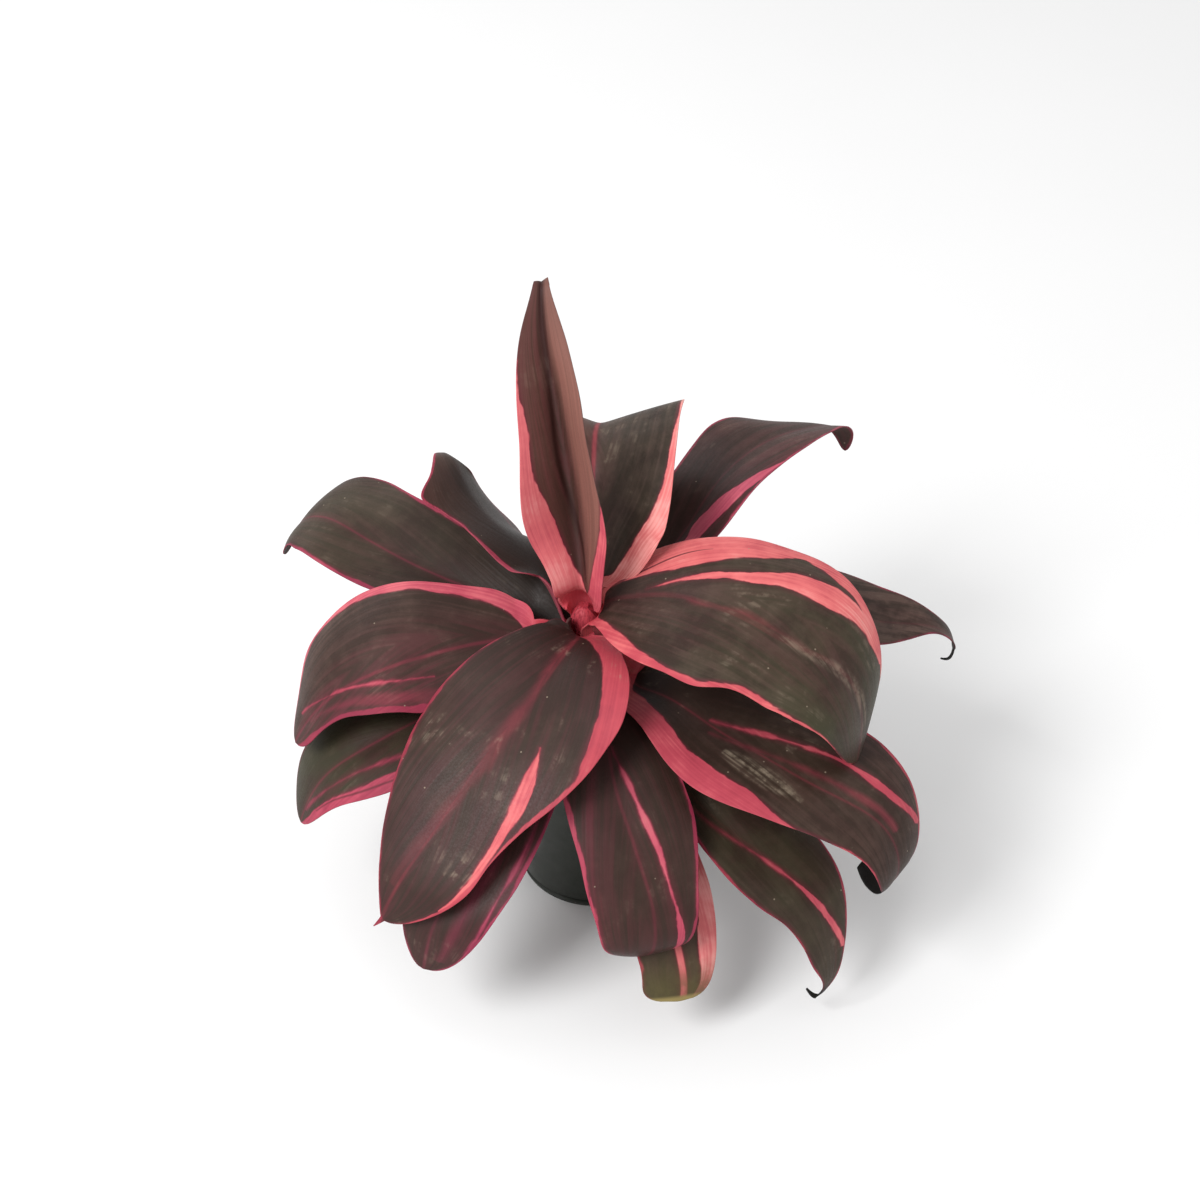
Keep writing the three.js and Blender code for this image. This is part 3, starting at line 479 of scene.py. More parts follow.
class TiSizes(bpy.types.PropertyGroup):
    """Sizes that a user would change."""

    leaf_rows: bpy.props.IntProperty(
        name="Rows along a blade", description="Rows of faces from a blade's base to its tip",
        default=110, min=20, max=240)
    leaf_columns: bpy.props.IntProperty(
        name="Columns across half a blade", description="Columns of faces from the midrib to a margin",
        default=20, min=6, max=40)
    vein_step: bpy.props.FloatProperty(
        name="Vein spacing", description="Distance between two fine veins at the midrib",
        default=1.1 * MM, unit="LENGTH")
    margin_thick: bpy.props.FloatProperty(
        name="Margin thickness", description="How thick a blade is at its margin",
        default=0.5 * MM, unit="LENGTH")
    soil_crumb: bpy.props.FloatProperty(
        name="Crumb height", description="How far the crumbs of the potting mix stand up",
        default=1.3 * MM, unit="LENGTH")
    pot_wall: bpy.props.FloatProperty(
        name="Pot wall", description="How thick the pot's wall is", default=1.6 * MM, unit="LENGTH")


def colour_property(name, code, description):
    """A colour that a user would change."""
    return bpy.props.FloatVectorProperty(
        name=name, description=description, default=colour(code), size=4, min=0, max=1, subtype="COLOR")


class TiColours(bpy.types.PropertyGroup):
    """Colours that a user would change."""

    bronze: colour_property("Bronze", "#33221b", "The blade's main colour")
    smoke: colour_property("Smoke", "#57413a", "The blade's lighter streaks")
    moss: colour_property("Moss", "#3b3c27", "The blade's greener parts")
    wine: colour_property("Wine", "#5c202c", "Red in the blade, beside its stripes")
    # Painted shade: the colour that a blade darkens to, most near the crown
    shade: colour_property("Shade", "#1f1512", "The darkest parts, near the crown")
    # Painted light: the lit brown on the lit side of a leaf
    young: colour_property("Young", "#926257", "The lit inside of the youngest leaf")
    ruby: colour_property("Ruby", "#86283a", "The deepest of the pinks")
    crimson: colour_property("Crimson", "#b64450", "The next of the pinks")
    coral: colour_property("Coral", "#de7070", "The warm one of the pinks")
    salmon: colour_property("Salmon", "#f4a29c", "The palest of the pinks")
    plum: colour_property("Plum", "#7d2446", "The deeper of the cool pinks")
    magenta: colour_property("Magenta", "#cc5f80", "The paler of the cool pinks")
    stalk: colour_property("Stalk", "#c84652", "The stalks and sheaths")
    underside: colour_property("Underside", "#4e3b38", "The blade's paler underside")
    # Scuffs and dust specks, and the painted sheen patches and streaks
    scuff_and_sheen: colour_property("Scuff", "#9a8b78", "Dusty scuffs and specks")
    sear: colour_property("Sear", "#4f4729", "Yellowed leaf ends")
    straw: colour_property("Straw", "#8a7a4c", "The rim of a yellowed leaf end")
    # Painted shade on the curled tip ends
    tip_shade: colour_property("Dry tip", "#14110f", "Dried leaf tips")
    pot: colour_property("Pot", "#1b1f17", "The pot's plastic")
    soil: colour_property("Potting mix", "#241a14", "The potting mix")
    bark: colour_property("Bark", "#6b5140", "The cane's bark")


class TiStage(bpy.types.PropertyGroup):
    """The stage: camera, lights and floor."""

    camera_distance: bpy.props.FloatProperty(
        name="Camera distance", description="From the camera to the plant's middle", default=1.25,
        unit="LENGTH")
    camera_height: bpy.props.FloatProperty(
        name="Camera elevation", description="How far above level the camera looks down from",
        default=math.radians(38), subtype="ANGLE")
    sky: bpy.props.FloatProperty(
        name="Surrounding light", description="Strength of the even light from all around", default=0.73)
    key: bpy.props.FloatProperty(
        name="Key light", description="Power of the large lamp at the front left", default=58,
        subtype="POWER")
    rim: bpy.props.FloatProperty(
        name="Rim light", description="Power of the large lamp at the back left", default=8,
        subtype="POWER")


# Shapes

def mixed(a, b, share):
    """The value a share of the way from a to b."""
    return a + (b - a) * share


def eased(value, start, end):
    """0 before start, 1 after end and a smooth step between them."""
    share = np.clip((value - start) / (end - start), 0, 1)
    return share * share * (3 - 2 * share)


def stepped(values, share):
    """A value at a share of a list of values at even steps, eased from each to the next."""
    values = np.asarray(values, float)
    place = np.clip(share, 0, 1) * (len(values) - 1)
    i = np.minimum(place.astype(int), len(values) - 2)
    return mixed(values[i], values[i + 1], eased(place - i, 0, 1))


def flowing(values, share):
    """The same, on a smooth curve through the values."""
    values = np.asarray(values, float)
    place = np.clip(share, 0, 1) * (len(values) - 1)
    i = np.minimum(place.astype(int), len(values) - 2)
    f = place - i
    ends = (2 * values[0] - values[1], 2 * values[-1] - values[-2])
    padded = np.concatenate((ends[:1], values, ends[1:]))
    a, b, c, d = (padded[i + k] for k in range(4))
    return b + f / 2 * (c - a + f * (2 * a - 5 * b + 4 * c - d + f * (3 * (b - c) + d - a)))


def threaded(pairs, share):
    """A value at a share of a smooth curve through pairs of a place and a value."""
    x, y = np.array(pairs, float).T
    tilt = np.gradient(y, x)
    share = np.clip(share, x[0], x[-1])
    i = np.clip(np.searchsorted(x, share) - 1, 0, len(x) - 2)
    span = x[i + 1] - x[i]
    f = (share - x[i]) / span
    rise = y[i] * (1 + 2 * f) * (1 - f) ** 2 + y[i + 1] * f * f * (3 - 2 * f)
    return rise + span * f * (1 - f) * (tilt[i] * (1 - f) - tilt[i + 1] * f)


def cane_at(height):
    """The cane's centre and radius at a height, in millimetres."""
    height = np.asarray(height, float)
    share = (height - CANE_FOOT[2]) / (CANE_TIP[2] - CANE_FOOT[2])
    centre = CANE_FOOT + (CANE_TIP - CANE_FOOT) * share[..., None]
    neck = np.minimum((height - CANE_FOOT[2]) / (CANE_NECK_HEIGHT - CANE_FOOT[2]), 1)
    tip = eased(height, CANE_NECK_HEIGHT, CANE_TIP[2])
    return centre, mixed(mixed(CANE_FOOT_RADIUS, CANE_NECK_RADIUS, neck), CANE_TIP_RADIUS, tip)


def batten(points):
    """Even samples of a natural cubic spline through the points, and the points' places among them."""
    points = np.asarray(points, float)
    steps = np.linalg.norm(np.diff(points, axis=0), axis=1)
    knots = np.concatenate(([0], np.cumsum(steps)))
    count = len(points)
    system = np.eye(count)
    pull = np.zeros((count, 3))
    for i in range(1, count - 1):
        before, after = steps[i - 1], steps[i]
        system[i, i - 1:i + 2] = before, 2 * (before + after), after
        pull[i] = 6 * ((points[i + 1] - points[i]) / after - (points[i] - points[i - 1]) / before)
    bends = np.linalg.solve(system, pull)
    places = np.linspace(0, knots[-1], SAMPLES)
    i = np.clip(np.searchsorted(knots, places) - 1, 0, count - 2)
    span = steps[i][:, None]
    b = (places - knots[i])[:, None] / span
    a = 1 - b
    bow = span * span / 6
    samples = a * points[i] + b * points[i + 1]
    samples += ((a ** 3 - a) * bends[i] + (b ** 3 - b) * bends[i + 1]) * bow
    return samples, knots / knots[-1] * (SAMPLES - 1)


def midrib(leaf):
    """Samples of the midrib's line, their lengths, the length at the blade's tip and the way it points."""
    angle = math.radians(leaf["azimuth"])
    outward = np.array((math.cos(angle), math.sin(angle), 0.0))
    points = []
    layer = (YOUNGEST_ROOT - leaf["root"]) * OUTWARD_SHARE
    for rise, away in zip((0, *SHEATH_RISE), (0, *SHEATH_AWAY)):
        centre, radius = cane_at(leaf["root"] + rise)
        points.append(centre + outward * (radius + GAP + layer + away))
    points += [np.array(p, float) for p in leaf["path"]]
    tip = len(points) - 1
    points += [np.array(p, float) for p in leaf.get("hook", [])]
    samples, knots = batten(points)
    lengths = np.concatenate(([0], np.cumsum(np.linalg.norm(np.diff(samples, axis=0), axis=1))))
    return samples, lengths, float(np.interp(knots[tip], np.arange(SAMPLES), lengths)), outward


def blade_outline(t, shape):
    """The half width as a share of its widest, from the base at 0 to the tip at 1."""
    widest = shape[0] / (shape[0] + shape[1])
    return (t / widest) ** shape[0] * ((1 - t) / (1 - widest)) ** shape[1]


def leaf_grid(leaf, rows, columns, margin_thick):
    """The upper and lower points of a leaf, row by row, and the numbers that its markings are laid by."""
    samples, lengths, total, outward = midrib(leaf)
    stalk = leaf["stalk"]
    even = np.linspace(0, 1, rows + 1)
    close = 0.45 * even + 0.55 * (1 - np.cos(math.pi * even)) / 2
    parts = [np.linspace(0, stalk, STALK_ROWS, endpoint=False), mixed(stalk, total - 0.01, close)]
    if "hook" in leaf:
        parts.append(np.linspace(total, lengths[-1], HOOK_ROWS)[1:])
    places = np.concatenate(parts)
    point = np.stack([np.interp(places, lengths, samples[:, k]) for k in range(3)], 1)
    i = np.clip(np.searchsorted(lengths, places) - 1, 0, len(samples) - 2)
    direction = samples[np.minimum(i + 2, len(samples) - 1)] - samples[np.maximum(i - 1, 0)]
    direction /= np.linalg.norm(direction, axis=1, keepdims=True)
    t = np.clip((places - stalk) / (total - stalk), 0, 1)
    level = np.array((outward[1], -outward[0], 0))
    side = level - direction * (direction @ level)[:, None]
    side /= np.linalg.norm(side, axis=1, keepdims=True)
    up = np.cross(side, direction)
    bank = np.radians(stepped(leaf["bank"], t)) * eased(places, 0.4 * stalk, stalk)
    cos, sin = np.cos(-bank)[:, None], np.sin(-bank)[:, None]
    side, up = side * cos + np.cross(direction, side) * sin, up * cos + np.cross(direction, up) * sin

    on_stalk = eased(places, 0.15 * stalk, 0.7 * stalk)
    on_blade = eased(places, 0.75 * stalk, 1.3 * stalk)
    hug = math.degrees(SHEATH_HALF / float(cane_at(leaf["root"])[1]))
    tip_half = leaf["hook_wide"][0] if "hook" in leaf else leaf.get("tip", TIP_HALF)
    closing = eased(t, 0.85, 1)
    tail = (TIP_TAIL * np.sqrt(1 - t) + TIP_LEAST) * (1 - closing) + tip_half * closing
    wide = leaf["half"] * blade_outline(t, leaf["shape"])
    half = np.hypot(wide, mixed(mixed(SHEATH_HALF, STALK_HALF, on_stalk), tail, eased(t, 0, 0.5)))
    winged = eased(places, 0.1 * stalk, stalk) * (1 - eased(places, stalk, 2.2 * stalk))
    half = half + leaf["wing"] * winged
    past = places > total
    if past.any():
        half[past] = flowing(leaf["hook_wide"], (places[past] - total) / (lengths[-1] - total))
    uneven = leaf.get("uneven", 0) * (1 - t) * on_blade
    wave = WAVE * np.sin(2 * math.pi * WAVES_EACH * t + leaf["azimuth"]) * np.sin(math.pi * t) * on_blade
    crease = np.radians(mixed(STALK_CREASE * on_stalk, stepped(leaf["crease"], t), on_blade))
    edge = np.radians(mixed(mixed(hug, STALK_EDGE, on_stalk), stepped(leaf["edge"], t), on_blade))
    stalk_rib = mixed(SHEATH_THICK, STALK_RIB_THICK, on_stalk)
    rib_thick = mixed(stalk_rib, mixed(RIB_THICK, BLADE_THICK, t), on_blade)
    edge_thick = mixed(mixed(SHEATH_THICK, STALK_THICK, on_stalk), margin_thick, on_blade)

    lip = np.clip(1 - LIP / half, 0.9, 0.995)
    inner = np.linspace(-1, 1, 2 * columns + 1)
    across = inner[None, :] * lip[:, None]
    ends = np.ones((len(places), 1))
    across = np.concatenate((-ends, across, ends), 1)
    trims = leaf.get("trim", (UNTRIMMED, UNTRIMMED))
    left, right = (1 + (flowing(trim, t) - 1) * on_blade for trim in trims)
    across = across * np.where(across < 0, left[:, None], right[:, None])
    rib = flowing(leaf["rib"], t)[:, None] * on_blade[:, None]
    halves = half[:, None] * (1 - np.sign(across) * uneven[:, None])
    wrapped = eased(places, 0.1 * stalk, 0.5 * stalk) * (1 - eased(places, 0.9 * stalk, 1.7 * stalk))
    wrap_left, wrap_right = leaf.get("wrap", (0, 0))
    halves = halves + wrapped[:, None] * np.where(across < 0, wrap_left, wrap_right)
    soft = mixed(0.25, 0.07, on_blade)[:, None]
    slope = crease[:, None] * np.tanh((across - rib) / soft) + (edge - crease)[:, None] * across
    run = np.diff(across, axis=1) * (halves[:, 1:] + halves[:, :-1]) / 2
    middle = (slope[:, 1:] + slope[:, :-1]) / 2
    start = np.zeros((len(places), 1))
    out = np.concatenate((start, np.cumsum(np.cos(middle) * run, 1)), 1)
    rise = np.concatenate((start, np.cumsum(np.sin(middle) * run, 1)), 1)
    centre = across.shape[1] // 2
    out -= out[:, centre:centre + 1]
    rise -= rise[:, centre:centre + 1]
    rise += np.sign(across) * wave[:, None] * across ** 2

    upper = point[:, None] + side[:, None] * out[..., None] + up[:, None] * rise[..., None]
    normal = up[:, None] * np.cos(slope)[..., None] - side[:, None] * np.sin(slope)[..., None]
    ribbed = np.exp(-((across - rib) * halves / RIB_REACH) ** 2)
    outer = np.minimum(np.abs(across), 1) ** 4 * on_blade[:, None]
    thick = mixed(mixed(BLADE_THICK, edge_thick[:, None], outer), rib_thick[:, None], ribbed)
    thick = mixed(edge_thick[:, None], thick, on_blade[:, None])
    lower = upper - normal * thick[..., None]
    marks = dict(t=t[:, None], across=across, halves=halves, rib=rib, places=places[:, None], total=total)
    return upper, lower, marks


def field_of(line, grid):
    """A marking's distance from its middle line, its half width and its strength at each point."""
    paired = "span" not in line
    first, last = (line["at"][0][0], line["at"][-1][0]) if paired else line["span"]
    share = (grid["t"] - first) / (last - first)
    middle = threaded(line["at"], grid["t"]) if paired else flowing(line["at"], share)
    wide = threaded(line["wide"], grid["t"]) if paired else flowing(line["wide"], share)
    width = np.where((share < 0) | (share > 1), -3.0, wide / 2)
    offset = (grid["across"] - middle) * grid["halves"]
    strength = flowing(line.get("strength", [1, 1]), share)
    return offset, width + 0 * offset, strength + 0 * offset


def margin_of(leaf, key, hand, grid, stalk):
    """How far inside a pink margin each point is, in millimetres."""
    reach = hand * grid["across"] * grid["halves"]
    outer = reach[:, :1] if hand < 0 else reach[:, -1:]
    spec = leaf[key]
    if isinstance(spec[0], tuple):
        edge = np.abs(grid["across"][:, :1] if hand < 0 else grid["across"][:, -1:])
        inside = reach - np.minimum(threaded(spec, grid["t"]) * outer / edge, outer - leaf.get("rim", 0.5))
    else:
        inside = reach - outer + flowing(spec, grid["t"])
    return inside + 20 * stalk


def leaf_fields(leaf, grid):
    """Numbers for each point of a leaf's face, which its material reads."""
    t, across, halves = grid["t"], grid["across"], grid["halves"]
    none = 0 * across
    base = leaf["stalk"] * leaf.get("base", 1)
    stalk = 1 - eased(grid["places"], 0.9 * base, 1.25 * base)
    across_share = (np.clip(across, -1, 1) + 1) / 2
    fanned = -VEIN_FAN * leaf["half"] * np.log(1 - np.minimum(np.abs(across), 1.5) / VEIN_FAN)
    vein = fanned - VEIN_SLANT * t * leaf["half"]
    total = grid["total"]
    # Painted shade over the curled end of the tip
    tip_shade = eased(grid["places"], total - leaf["tip_shade_length"], total + 1) if "tip_shade_length" in leaf else 0

    def along(key, usual=(0, 0)):
        return stepped(leaf.get(key, usual), t) + none

    def from_left(key):
        return stepped(leaf.get(key, (0, 0)), across_share)

    margins = (margin_of(leaf, "left", -1, grid, stalk), margin_of(leaf, "right", 1, grid, stalk))
    rib_half = leaf.get("rib_wide", 1.2) / 2
    fields = {
        "place": (t + none, across, none + 1),
        "bands": (*margins, none),
        "vein": (vein, stalk + none, grid["places"] + none),
        "rib": ((across - grid["rib"]) * halves, none + rib_half, none + leaf["rib_pink"]),
        "tone": (along("green"), along("light"), tip_shade + none),
        "extra": (from_left("lift"), from_left("flush"), none + leaf["cool"]),
        "tints": tuple(none + tint for tint in leaf["tints"]),
        # depth: painted shade from the dark list, yellowing, and how strong the scuffs with painted sheen
        # are
        "depth": (along("dark", (0.3, 0)), along("sear"), none + leaf.get("scuff_and_sheen", 0.25)),
    }
    absent = dict(span=(2, 3), at=[0, 0], wide=[0, 0])
    lines = (leaf.get("stripes", []) + [absent, absent])[:2]
    lines += [leaf.get("crease_shade", absent), leaf.get("sheen_streak", absent)]
    for name, line in zip(("stripe_a", "stripe_b", "crease_shade", "sheen_streak"), lines):
        fields[name] = field_of(line, grid)
    return fields


def closed_leaf(name, upper, lower, fields):
    """A closed thin mesh between two faces, which carries the fields as attributes."""
    rows, columns = upper.shape[:2]
    points = np.concatenate((upper.reshape(-1, 3), lower.reshape(-1, 3))) * MM
    index = np.arange(rows * columns).reshape(rows, columns)
    under = index + rows * columns

    def quads(a, b, c, d):
        return np.stack((a.ravel(), b.ravel(), c.ravel(), d.ravel()), 1)

    faces = np.concatenate((
        quads(index[:-1, :-1], index[:-1, 1:], index[1:, 1:], index[1:, :-1]),
        quads(under[:-1, :-1], under[1:, :-1], under[1:, 1:], under[:-1, 1:]),
        quads(index[:-1, 0], index[1:, 0], under[1:, 0], under[:-1, 0]),
        quads(index[:-1, -1], under[:-1, -1], under[1:, -1], index[1:, -1]),
        quads(index[0, :-1], under[0, :-1], under[0, 1:], index[0, 1:]),
        quads(index[-1, :-1], index[-1, 1:], under[-1, 1:], under[-1, :-1]),
    ))
    mesh = bpy.data.meshes.new(name)
    mesh.from_pydata(points, [], faces)
    for key, parts in fields.items():
        layer = np.stack(parts, -1).reshape(-1, 3)
        below = layer.copy()
        if key == "place":
            below[:, 2] = 0
        carry(mesh, key, np.concatenate((layer, below)))
    smooth(mesh)
    return mesh


def carry(mesh, key, values):
    """Keeps three numbers for each point of a mesh as an attribute."""
    kept = mesh.attributes.new(key, "FLOAT_VECTOR", "POINT")
    kept.data.foreach_set("vector", values.astype(np.float32).ravel())


def smooth(mesh, angle=None):
    """Shades a mesh smooth, but for the edges that bend by more than an angle."""
    mesh.polygons.foreach_set("use_smooth", [True] * len(mesh.polygons))
    if angle is not None:
        mesh.set_sharp_from_angle(angle=angle)
    mesh.update()


def place_piece(name, mesh, material, node):
    """Puts a finished mesh in the scene as the piece that stands for a node."""
    piece = bpy.data.objects.new(name, mesh)
    bpy.context.scene.collection.objects.link(piece)
    mesh.materials.clear()
    mesh.materials.append(material)
    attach(piece, "root")
    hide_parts(node)
    return piece


def ringed(name, rings):
    """A closed mesh of rings of points, with a flat face on the first and on the last."""
    count, sides = rings.shape[:2]
    grid = np.arange(count * sides).reshape(count, sides)
    following = np.roll(grid, -1, 1)
    quads = np.stack((grid[:-1], following[:-1], following[1:], grid[1:]), -1).reshape(-1, 4)
    faces = [tuple(f) for f in quads] + [tuple(grid[0][::-1]), tuple(grid[-1])]
    mesh = bpy.data.meshes.new(name)
    mesh.from_pydata(rings.reshape(-1, 3), [], faces)
    made = bmesh.new()
    made.from_mesh(mesh)
    bmesh.ops.recalc_face_normals(made, faces=made.faces)
    made.to_mesh(mesh)
    made.free()
    return mesh


def turned(profile, sides):
    """A bmesh of a profile of (radius, height) points turned about the upright axis."""
    made = bmesh.new()
    rings = []
    for radius, height in profile:
        if radius == 0:
            rings.append([made.verts.new((0, 0, height))] * sides)
            continue
        angles = [2 * math.pi * i / sides for i in range(sides)]
        points = [(radius * math.cos(a), radius * math.sin(a), height) for a in angles]
        rings.append([made.verts.new(point) for point in points])
    for low, high in zip(rings, rings[1:]):
        for i in range(sides):
            corners = dict.fromkeys((low[i], low[(i + 1) % sides], high[(i + 1) % sides], high[i]))
            made.faces.new(list(corners))
    bmesh.ops.recalc_face_normals(made, faces=made.faces)
    return made


# Materials

class Recipe:
    """Builds the nodes of one material."""

    def __init__(self, name):
        self.material = bpy.data.materials.new(name)
        self.material.use_nodes = True
        self.tree = self.material.node_tree
        self.tree.nodes.clear()

    def node(self, kind, inputs=None, **settings):
        made = self.tree.nodes.new(kind)
        for key, value in settings.items():
            setattr(made, key, value)
        for socket, value in (inputs or {}).items():
            if isinstance(value, bpy.types.NodeSocket):
                self.tree.links.new(value, made.inputs[socket])
            else:
                made.inputs[socket].default_value = value
        return made

    def where(self):
        """The place on the object."""
        return self.node("ShaderNodeTexCoord").outputs["Object"]

    def math(self, operation, *values, clamp=False):
        inputs = dict(enumerate(values))
        return self.node("ShaderNodeMath", inputs, operation=operation, use_clamp=clamp).outputs[0]

    def inside(self, offset, half):
        """How far a point lies inside the edge of a line, from its offset and the line's half width."""
        return self.math("SUBTRACT", half, self.math("ABSOLUTE", offset))

    def mix(self, share, a, b):
        return self.node("ShaderNodeMix", {0: share, 6: a, 7: b}, data_type="RGBA").outputs[2]

    def ramp(self, value, low, high, first=0.0, last=1.0):
        inputs = {"Value": value, "From Min": low, "From Max": high, "To Min": first, "To Max": last}
        return self.node("ShaderNodeMapRange", inputs, interpolation_type="SMOOTHSTEP").outputs[0]

    def noise(self, vector, scale=1.0, detail=2.0, roughness=0.5):
        inputs = {"Vector": vector, "Scale": scale, "Detail": detail, "Roughness": roughness}
        return self.node("ShaderNodeTexNoise", inputs).outputs[0]

    def read(self, name):
        """The three numbers of an attribute."""
        vector = self.node("ShaderNodeAttribute", attribute_name=name).outputs["Vector"]
        return self.node("ShaderNodeSeparateXYZ", {0: vector}).outputs[:]

    def vector(self, x, y, z):
        return self.node("ShaderNodeCombineXYZ", {0: x, 1: y, 2: z}).outputs[0]

    def bump(self, height, strength, distance, below=None):
        inputs = {"Height": height, "Strength": strength, "Distance": distance}
        if below is not None:
            inputs["Normal"] = below
        return self.node("ShaderNodeBump", inputs).outputs[0]

    def finish(self, inputs):
        shader = self.node("ShaderNodeBsdfPrincipled", inputs)
        self.node("ShaderNodeOutputMaterial", {"Surface": shader.outputs[0]})
        return self.material


def leaf_material(sizes, colours):
    """Dark bronze blade with pink margins, stripes and midrib, slanting veins and a satin sheen."""
    r = Recipe("Ti leaf")
    where = r.where()
    t, across, face = r.read("place")
    left, right, _ = r.read("bands")
    vein, stalk, length = r.read("vein")
    rib_off, rib_half, rib_pink = r.read("rib")
    green, light, tip_shade = r.read("tone")
    lift, flush, cool = r.read("extra")
    left_tint, right_tint, stripe_tint = r.read("tints")
    painted_shade_share, sear, sheen_and_scuff_share = r.read("depth")
    step = sizes.vein_step / MM

    def veins(steps, shrink, detail):
        """Streaks along the veins, some steps apart and drawn out along the blade."""
        across_veins = r.math("DIVIDE", vein, steps * step)
        return r.noise(r.vector(across_veins, r.math("MULTIPLY", length, shrink), across), 1.0, detail)

    fine = veins(1.0, 0.022, 1.0)
    streak = veins(3.0, 0.016, 3.0)
    broad = veins(9.0, 0.018, 2.0)
    grain = r.noise(where, 900.0, 3.0, 0.6)
    cloud = r.noise(where, 34.0, 4.0, 0.6)
    mottle = r.noise(where, 130.0, 3.0, 0.6)

    # The dark blade
    streaks = r.math("ADD", r.ramp(streak, 0.42, 0.68, 0.0, 0.22), r.ramp(broad, 0.38, 0.66, -0.05, 0.45))
    streaks = r.math("ADD", streaks, r.ramp(fine, 0.35, 0.7, -0.04, 0.05))
    streaks = r.math("ADD", streaks, r.ramp(cloud, 0.35, 0.65, -0.15, 0.35))
    streaks = r.math("ADD", streaks, r.ramp(mottle, 0.35, 0.7, -0.16, 0.2), clamp=True)
    lightness = r.math("MULTIPLY", streaks, r.math("ADD", light, 0.2), clamp=True)
    dark = r.mix(lightness, colours.bronze, colours.smoke)
    dark = r.mix(r.math("MULTIPLY", green, r.ramp(cloud, 0.32, 0.62, 0.2, 0.85)), dark, colours.moss)
    wine = r.math("MULTIPLY", flush, r.ramp(r.math("ADD", broad, streak), 0.8, 1.2, 0.15, 1.0))
    dark = r.mix(r.math("MULTIPLY", wine, 0.6), dark, colours.wine)
    # Painted light: a lit brown over a leaf's lit side, as its lift list says
    dark = r.mix(r.math("MULTIPLY", lift, r.ramp(streak, 0.3, 0.7, 0.75, 1.0)), dark, colours.young)
    # Painted shade: darker towards the crown, as a leaf's dark list says
    dark = r.mix(r.math("MULTIPLY", painted_shade_share, 0.8), dark, colours.shade)

    # The pink margins, stripes and midrib
    drift = r.noise(r.vector(across, r.math("MULTIPLY", length, 0.05), left_tint), 1.0, 2.0)
    ragged = r.math("ADD", r.ramp(drift, 0.3, 0.7, -0.9, 0.9), r.ramp(mottle, 0.3, 0.7, -0.25, 0.25))
    ragged = r.math("ADD", ragged, r.ramp(streak, 0.3, 0.7, -0.2, 0.2))
    soft = r.math("MULTIPLY_ADD", r.ramp(cloud, 0.35, 0.65), 0.7, 0.35)

    def mask(inside, softness=soft):
        """A marking with a ragged edge."""
        return r.ramp(r.math("DIVIDE", r.math("ADD", inside, ragged), softness), -1.0, 1.0)

    def stripe(offset, half, strength):
        """A strong stripe has a crisp edge, and a weak one a soft edge."""
        inside = r.inside(offset, half)
        halo = r.ramp(inside, -4.0, 0.5, 0.0, 0.4)
        faint = r.math("SUBTRACT", 1.0, strength, clamp=True)
        core = mask(inside, r.math("MULTIPLY_ADD", faint, 2.6, soft))
        return r.math("MULTIPLY", core, strength), r.math("MULTIPLY", halo, strength)

    pink = 0.0
    halo = 0.0
    for name in ("stripe_a", "stripe_b"):
        core, glow = stripe(*r.read(name))
        pink = r.math("MAXIMUM", pink, core)
        halo = r.math("MAXIMUM", halo, glow)
    rib = r.inside(rib_off, rib_half)
    pink = r.math("MAXIMUM", pink, r.math("MULTIPLY", r.ramp(rib, -0.9, 0.7), rib_pink))
    glow = r.math("MULTIPLY", r.ramp(rib, -4.0, 0.0, 0.0, 0.45), rib_pink)
    halo = r.math("MAXIMUM", halo, glow)
    left_mask = mask(left)
    right_mask = mask(right)
    fringe = r.ramp(r.math("MAXIMUM", left, right), -2.4, 0.4, 0.0, 0.6)
    halo = r.math("MAXIMUM", halo, fringe)
    pink = r.math("MAXIMUM", pink, r.math("MAXIMUM", left_mask, right_mask))
    # A dark line of painted shade along a fold or crease, which also dulls the pink under it
    offset, half, strength = r.read("crease_shade")
    blur = r.math("MULTIPLY_ADD", r.math("SUBTRACT", 1.0, strength), 7.0, 0.3)
    crease_shade = r.math("DIVIDE", r.inside(offset, half), blur)
    crease_shade = r.math("MULTIPLY", r.ramp(crease_shade, -1.0, 1.0), strength)
    pink = r.math("MULTIPLY", pink, r.math("MULTIPLY_ADD", crease_shade, -0.8, 1.0))
    dark = r.mix(crease_shade, dark, colour("#2c120e"))

    def blend(share, a, b):
        """The number a share of the way from a to b."""
        return r.math("MULTIPLY_ADD", r.math("SUBTRACT", b, a), share, a)

    stripe_tint = r.math("MULTIPLY", stripe_tint, r.ramp(pink, 0.2, 0.9, 0.2, 1.0))
    tint = blend(right_mask, blend(left_mask, stripe_tint, left_tint), right_tint)
    tint = r.math("ADD", tint, r.ramp(streak, 0.3, 0.7, -0.07, 0.07))
    tint = r.math("ADD", tint, r.ramp(cloud, 0.3, 0.7, -0.12, 0.12), clamp=True)
    rose = r.mix(r.ramp(tint, 0.0, 0.5), colours.ruby, colours.crimson)
    rose = r.mix(r.ramp(tint, 0.45, 0.8), rose, colours.coral)
    rose = r.mix(r.ramp(tint, 0.75, 1.0), rose, colours.salmon)
    cold = r.mix(r.ramp(tint, 0.1, 0.8), colours.plum, colours.magenta)
    rose = r.mix(r.math("MULTIPLY", cool, 0.75), rose, cold)
    rose = r.mix(r.math("MULTIPLY", stalk, 0.7), rose, colours.stalk)
    dark = r.mix(halo, dark, colours.wine)
    upper = r.mix(pink, dark, rose)
